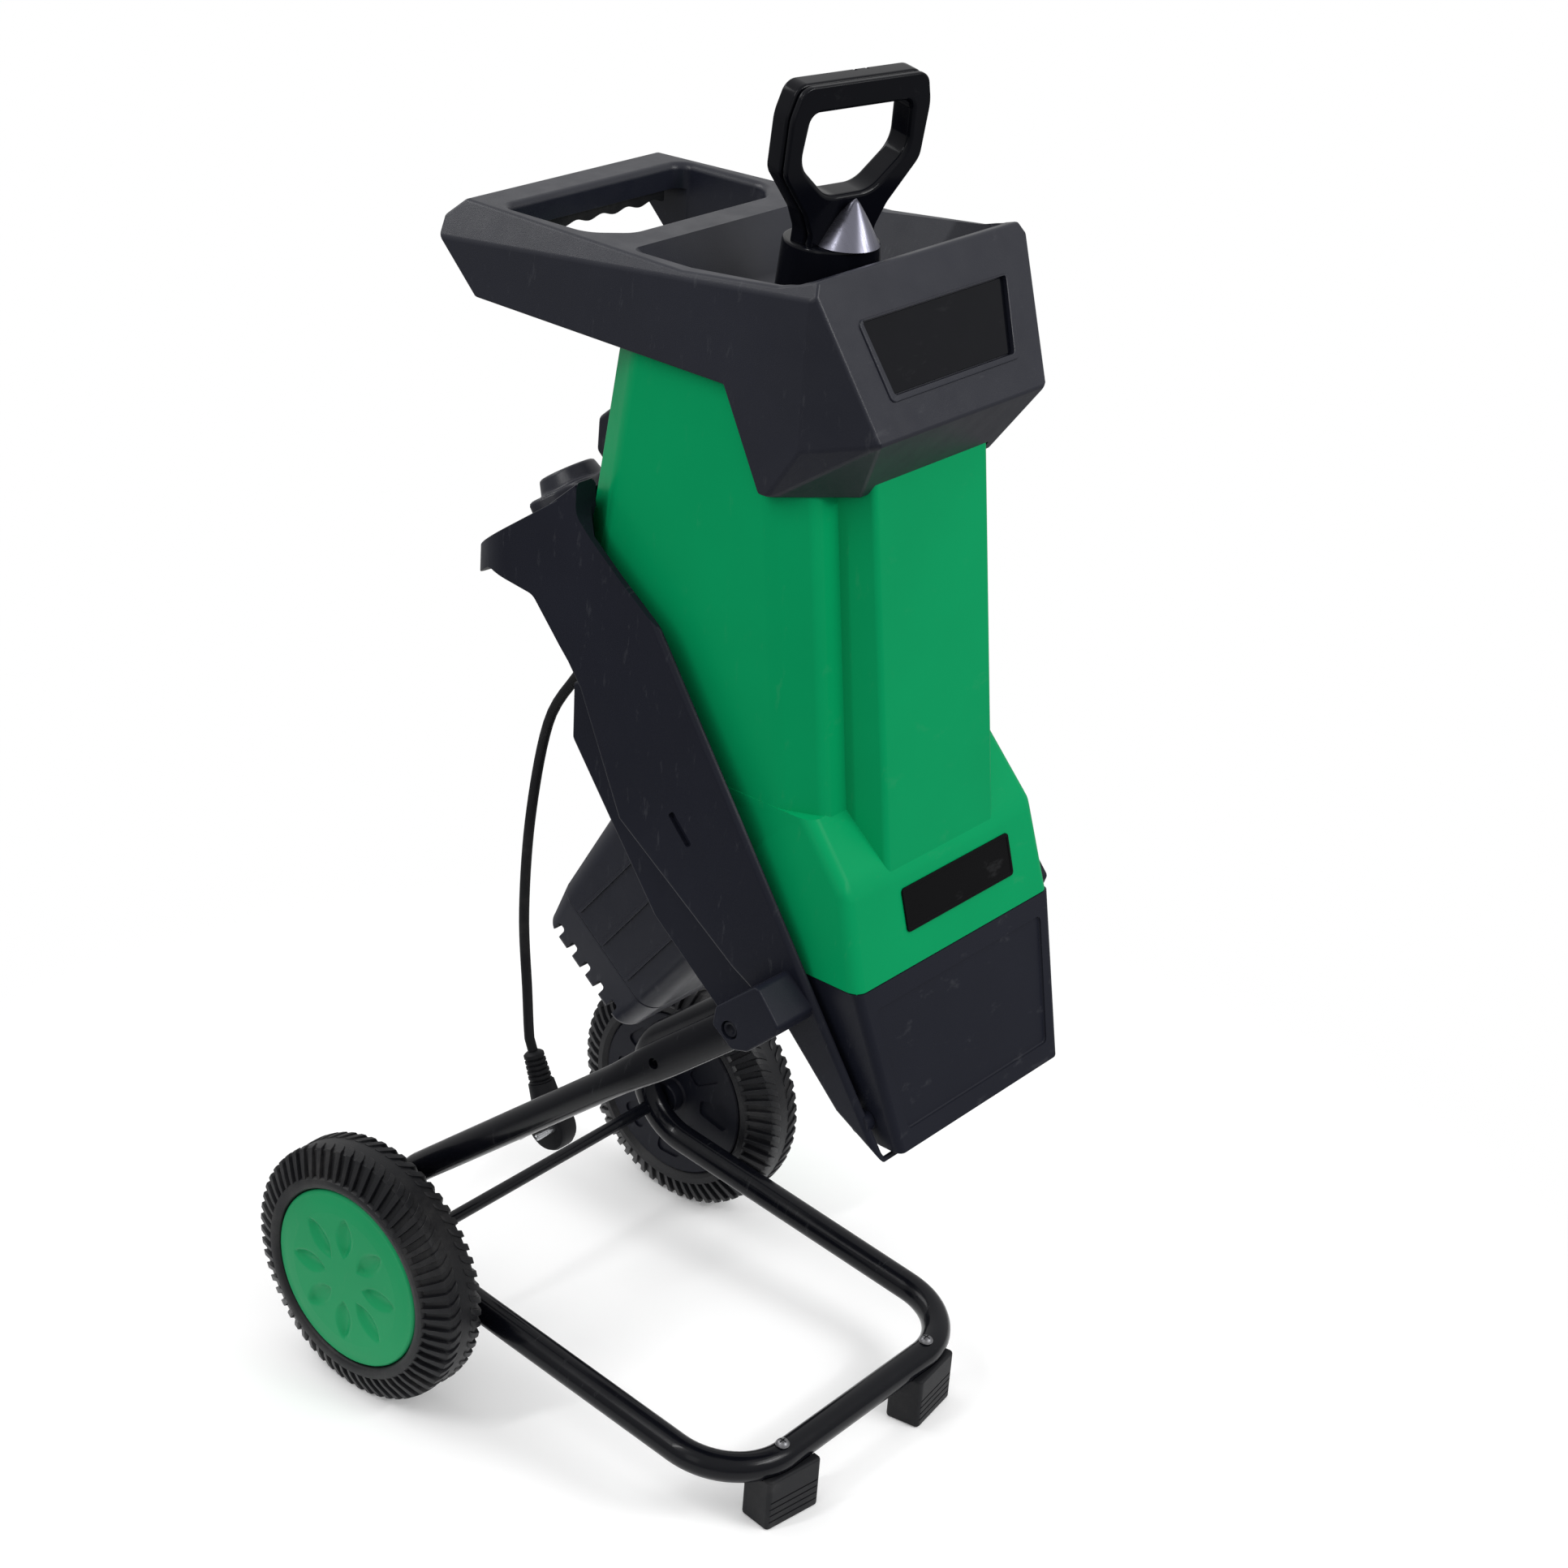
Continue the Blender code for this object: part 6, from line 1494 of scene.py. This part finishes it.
def window_frame():
    """The frame of the collar's front face, at the middle of its window."""
    out = plane((0, *RIM_EDGE), (0, *COLLAR_NOSE), (1, *COLLAR_NOSE), (0, 0, 0.85))[1]
    up = Vector((0, RIM_EDGE[0] - COLLAR_NOSE[0], RIM_EDGE[1] - COLLAR_NOSE[1])).normalized()
    origin = Vector((0, -0.1591, 0.8545))
    origin += out * out.dot(Vector((0, *RIM_EDGE)) - origin)
    return facing(origin, up, out)


def window(grown, top=0.0):
    upper, lower = 0.002 + grown * 0.5, 0.003 + grown * 0.5
    return rounded([(-0.0735 - grown, 0.024 + top, upper), (0.0735 + grown, 0.024 + top, upper),
                    (0.0618 + grown, -0.024 - grown, lower), (-0.0618 - grown, -0.024 - grown, lower)], 6)


def make_collar():
    collar = trimmed(side_prism(collar_outline(), -COLLAR_HALF_WIDTH, COLLAR_HALF_WIDTH), collar_planes())
    cleaned(collar, 0.2)
    bmesh.ops.remove_doubles(collar, verts=collar.verts, dist=0.0008)
    softened(collar, 0.0060, 6, 9)
    place = window_frame()
    border = softened(extruded(window(0.0042, 0.0012), -0.003, 0.0011), 0.0010, 3, 50,
                      lambda mid, e: mid.z > 0)
    collar = combined(collar, [moved(border, place)], "UNION")
    inside = (0, -0.05, 0.87)
    mouth = block([
        across((-0.1240, 0.8975), (-0.112, FUNNEL_FLOOR), inside),
        across((0.0200, 0.8830), (-0.004, FUNNEL_FLOOR), inside),
        *both_sides((0.0975, 0, 0.885), (0.076, 0, FUNNEL_FLOOR), (0.076, 0.1, FUNNEL_FLOOR), inside),
        level(FUNNEL_FLOOR, False), level(0.95, True),
    ])
    softened(mouth, 0.0070, 5, 30, lambda mid, e: mid.z < 0.90)
    cuts = [mouth, block(offset(trunk_planes(), GAP) + between(0.70, HOPPER_TOP + GAP)),
            block(offset(panel_planes(), GAP) + between(0.70, HOPPER_TOP - 0.04 + GAP))]
    collar = combined(collar, cuts)
    softened(collar, 0.0042, 5, 35, lambda mid, e: mid.z > 0.8785 and mid.y < 0.024 and abs(mid.x) < 0.0995)
    openings = [cylinder(0.0335, HOPPER_TOP - 0.01, FUNNEL_FLOOR + 0.01,
                         Matrix.Translation((0, PLUNGER_Y, 0)), 96),
                extruded(handle_loop(), 0.75, 0.95),
                box((-HANDLE_OPENING, 0.130, 0.78), (HANDLE_OPENING, 0.200, BAR_BOTTOM))]
    collar = combined(collar, openings)
    for radius, steps, low, high in ((0.0050, 5, 0.8790, 1.0), (0.0025, 4, 0.82, 0.8700)):
        softened(collar, radius, steps, 45, lambda mid, e: 0.044 < mid.y < 0.150 and low < mid.z < high
                 and abs(mid.x) < 0.0885)
    collar = combined(collar, [extruded(window(0.0), -0.0035, 0.01, place)])
    softened(collar, 0.0009, 2, 50, lambda mid, e: mid.y < -0.12 and mid.z < 0.888
             and abs((place.inverted() @ mid).z - 0.0011) < 0.0006)
    placed("collar_body", collar, "black plastic", "hopper", ["hopper_collar"], 30)
    panel = rounded([(-0.0725, 0.0232, 0.002), (0.0725, 0.0232, 0.002), (0.0610, -0.0232, 0.002),
                     (-0.0610, -0.0232, 0.002)])
    panel = softened(extruded(panel, -0.0032, -0.0018, place), 0.0004, 2, 50)
    placed("collar_window", panel, "gloss plastic", "hopper", ["collar_panel"], 35)
    make_bar_grip()


def make_bar_grip():
    """The soft strip under the handle's bar, with six waves for the fingers."""
    top, steps = BAR_BOTTOM - GAP, 96
    outline = [(-0.075, top), (0.075, top)]
    outline += [(0.075 - 0.15 * k / steps, top - 0.0075 - 0.0013 * math.cos(2 * math.pi * k / 16))
                for k in range(steps + 1)]
    grip = softened(extruded(outline, -0.1650, -0.1400, UPRIGHT), 0.0015, 3, 60)
    placed("bar_grip", grip, "rubber", "hopper", ["handle_grip"], 40)


def make_chute():
    place = Matrix.Translation((0, PLUNGER_Y, 0))
    outer, top = 0.0355, HOPPER_TOP
    chute = spun([
        (outer + 0.006, top - 0.0006), (outer + 0.0054, top - 0.003), (outer + 0.0012, top - 0.003),
        (outer, top - 0.0042), (outer, 0.40), (0.0325, 0.40), (0.0325, top - 0.0006), (0.0331, top),
        (outer + 0.0054, top),
    ], place, 96, ring=True)
    low = UNIT @ Vector((0, 0, 0.0415))
    end = box((-0.2, -0.3, -0.3), (0.2, 0.3, 0.0),
              Matrix.Translation(low) @ Matrix.Rotation(math.radians(38), 4, "X"))
    chute = softened(combined(chute, [end]), 0.0006, 2, 55)
    placed("chute_tube", chute, "black plastic", "hopper", ["feed_chute"], 35)


# Plunger

def make_plunger_grip(lean):
    """The D handle and the cone in front of it, cut off where they stand on the shaft."""
    wide, top = 0.0565, 0.1060
    loop = rounded(symmetric([
        (-wide + 0.0060, top, 0.010), (-wide, top - 0.020, 0.030), (-wide + 0.001, 0.0500, 0.014),
        (-0.0335, 0.0225, 0.020), (-0.0265, 0.0080, 0.010), (-0.0265, -0.006),
    ]), 8)
    opening = rounded(symmetric([(-0.0410, 0.0885, 0.007), (-0.0438, 0.0560, 0.018),
                                 (-0.0180, 0.0330, 0.022)]), 10)
    slabs = [softened(extruded(loop, near, far, UPRIGHT), edge, 3, 60)
             for near, far, edge in ((0.0055, 0.0100, 0.0014), (-0.0100, 0.0038, 0.0020))]
    grip = combined(extruded(shrunk(loop, 0.0022), -0.0085, 0.0085, UPRIGHT), slabs, "UNION")
    grip = combined(grip, [extruded(opening, -0.02, 0.02, UPRIGHT)])
    softened(grip, 0.0036, 5, 60, lambda mid, e: abs(abs(mid.y) - 0.010) < 0.0004 and abs(mid.x) < 0.0448
             and 0.0325 < mid.z < 0.0892)
    cone_low, cone_high, cone_radius, bulge = -0.010, 0.0325, 0.0210, 0.86
    cone_place = Matrix.Translation((0, -0.0160, 0))
    base = cone_radius * (1 + 0.010 / cone_high)
    cuts = [box((x - 0.0012, 0.0066, top - 0.0022), (x + 0.0012, 0.012, top + 0.003))
            for x in (0.004, 0.014)]
    cuts.append(cylinder(base + 0.0004, cone_low, 0.0335, cone_place, 96, top=0.0010))
    seat = [(Vector((0, 0, HEAD_TOP + GAP)), Vector((0, 0, -1)))]
    grip = trimmed(moved(combined(grip, cuts), lean), seat)
    placed("plunger_grip", grip, "gloss plastic", "plunger", ["plunger_handle"], 35)
    rings = [(0, cone_low)]
    for k in range(17):
        z = cone_low + 0.0425 * k / 16
        share = (cone_high - z) / 0.0425
        rings.append((base * (share ** bulge) if share > 0 else 0.0, z))
    cone = trimmed(spun(rings, lean @ cone_place, 96), seat)
    placed("plunger_tip", cone, "satin grey", "plunger", ["plunger_cone"], 50)


def make_plunger():
    place = Matrix.Translation((0, PLUNGER_Y, 0)) @ turned(math.radians(-10))
    low = FUNNEL_FLOOR + GAP
    body = spun([
        (0, HEAD_TOP), (0.0286, HEAD_TOP), (0.0302, HEAD_TOP - 0.0006), (0.0310, HEAD_TOP - 0.0022),
        (0.0345, low + 0.0016), (0.0346, low + 0.0006), (0.0340, low), (0.0310, low), (0.0310, 0.494),
        (0.0302, 0.4915), (0.0275, 0.490), (0, 0.490),
    ], place, 96)
    grooves = []
    for k in range(3):
        z = 0.540 + 0.085 * k
        grooves.append(spun([(0.0300, z), (0.034, z), (0.034, z + 0.003), (0.0300, z + 0.003)], place, 96,
                            ring=True))
    body = softened(combined(body, grooves), 0.0005, 1, 60, lambda mid, e: mid.z < 0.80)
    placed("plunger_shaft", body, "gloss plastic", "plunger", ["plunger_body"], 35)
    head = place @ Matrix.Translation((0, 0, HEAD_TOP))
    make_plunger_grip(head @ Matrix.Rotation(math.radians(7), 4, "X"))


# Switch box and buttons

def make_switch():
    back, wall, top = 0.118, 0.003, 0.616
    case = side_prism(rounded([
        (0.0558, 0.556), (0.0558, top), (back, top, 0.006), (back, 0.5747, 0.002), (0.075, 0.556, 0.002),
    ]), -0.035, 0.045)
    softened(case, 0.0025, 4, 50, lambda mid, e: mid.y > 0.058)
    cuts = [side_prism([(0.0458, 0.561), (0.0458, top - wall), (back - wall, top - wall),
                        (back - wall, 0.5777), (0.072, 0.561)], -0.032, 0.042)]
    collars = []
    inner = -wall - GAP
    for word, x, radius, finish, slot in (("start", -0.014, 0.009, "green plastic", "green_plastic"),
                                          ("stop", 0.012, 0.009, "red plastic", "red_plastic"),
                                          ("reset", 0.032, 0.005, "black plastic", "black_plastic")):
        place = Matrix.Translation((x, back, 0.600)) @ Matrix.Rotation(-math.pi / 2, 4, "X")
        collars.append(spun([(radius + 0.0004, -0.001), (radius + 0.0022, -0.001), (radius + 0.0020, 0.0006),
                             (radius + 0.0014, 0.0010), (radius + 0.0006, 0.0010)], place, 48, ring=True))
        cuts.append(cylinder(radius + GAP, -0.02, 0.02, place, 48))
        key = spun([
            (0, 0.0044), (radius - 0.0035, 0.0046), (radius - 0.0014, 0.0050), (radius - 0.0005, 0.0047),
            (radius, 0.0040), (radius, inner), (radius + 0.0015, inner), (radius + 0.0015, inner - 0.002),
            (0, inner - 0.002),
        ], place, 48)
        placed(word + "_cap", key, finish, word + "_key", [word + "_button"])
    cuts.append(cylinder(0.0041, -0.02, 0.002, gland_frame(), 32))
    case = combined(combined(case, collars, "UNION"), cuts)
    placed("switch_body", case, "black plastic", "base", ["switch_box"], 35)


def make_insides():
    """Axle, and the packed pieces inside the motor, which keep their shape."""
    reach = WHEEL_X + 0.018 + 0.0005
    rod = [(0, reach + 0.0020), (0.0062, reach + 0.0020), (0.0078, reach + 0.0012), (0.008, reach + 0.0006),
           (0.008, reach), (0.005, reach)]
    axle = spun(rod + [(r, -z) for r, z in reversed(rod)], across_at(*AXLE), 64)
    placed("axle_rod", axle, "paint", "base", ["axle"])
    dressed("steel", "rotor_shaft", "bearing_upper", "bearing_lower")
    dressed("dark steel", "armature_core", "stator")
    dressed("copper", "commutator")
    dressed("carbon", "brush_left", "brush_right")
    dressed("fan plastic", "cooling_fan")


# Operators: one for each piece or group of like pieces, and one for the stage

def operator(idname, label, text, work):
    def execute(self, context):
        work()
        return {"FINISHED"}
    return type("CHIPPER_OT_" + idname, (bpy.types.Operator,), {
        "bl_idname": "chipper." + idname, "bl_label": label, "__doc__": text, "execute": execute,
    })


OPERATORS = [
    operator("camera", "Camera", "Adds the camera", make_camera),
    operator("materials", "Materials", "Makes the shared materials", make_materials),
    operator("lead", "Lead", "Builds the gland, the power lead, its relief and plug", make_lead),
    operator("stage", "Stage", "Adds the floor, the lamps and the surrounding light", make_stage),
    operator("stand", "Stand", "Builds the bent tube, its feet and bolts", make_stand),
    operator("wheels", "Wheels", "Builds the tyres, rims and caps", make_wheels),
    operator("base", "Base", "Builds the slanted base with its visor", make_base),
    operator("lock", "Lock knob", "Builds the lock knob and its stud", make_lock),
    operator("motor", "Motor casing", "Builds the motor's shell and end cap", make_motor),
    operator("cutter", "Cutting disc", "Builds the disc, blades, screws and nut", make_cutter),
    operator("housing", "Green housing", "Builds the hopper's green housing", make_housing),
    operator("label", "Label plate", "Builds the bare label plate", make_label),
    operator("hood", "Discharge box", "Builds the discharge box and its pins", make_discharge_box),
    operator("latch", "Latch", "Builds the latch and its tongue", make_latch),
    operator("collar", "Collar", "Builds the collar, its window and the bar's grip", make_collar),
    operator("chute", "Chute", "Builds the feed chute", make_chute),
    operator("plunger", "Plunger", "Builds the plunger, its handle and tip", make_plunger),
    operator("switch", "Switch box", "Builds the switch box and its buttons", make_switch),
    operator("insides", "Insides", "Builds the axle and dresses the pieces inside", make_insides),
]


class CHIPPER_PT_panel(bpy.types.Panel):
    """The chipper's settings and builders"""
    bl_label = "Electric wood chipper"
    bl_idname = "CHIPPER_PT_panel"
    bl_space_type = "VIEW_3D"
    bl_region_type = "UI"
    bl_category = "Chipper"

    def draw(self, context):
        for key in ChipperSettings.__annotations__:
            self.layout.prop(context.scene.chipper, key)
        for kind in OPERATORS:
            self.layout.operator(kind.bl_idname)


CLASSES = [ChipperSettings, *OPERATORS, CHIPPER_PT_panel]


def register():
    for kind in CLASSES:
        bpy.utils.register_class(kind)
    bpy.types.Scene.chipper = PointerProperty(type=ChipperSettings)


def unregister():
    del bpy.types.Scene.chipper
    for kind in reversed(CLASSES):
        bpy.utils.unregister_class(kind)


def main():
    register()
    for kind in OPERATORS:
        getattr(bpy.ops.chipper, kind.bl_idname.split(".")[1])()


if __name__ == "__main__":
    main()
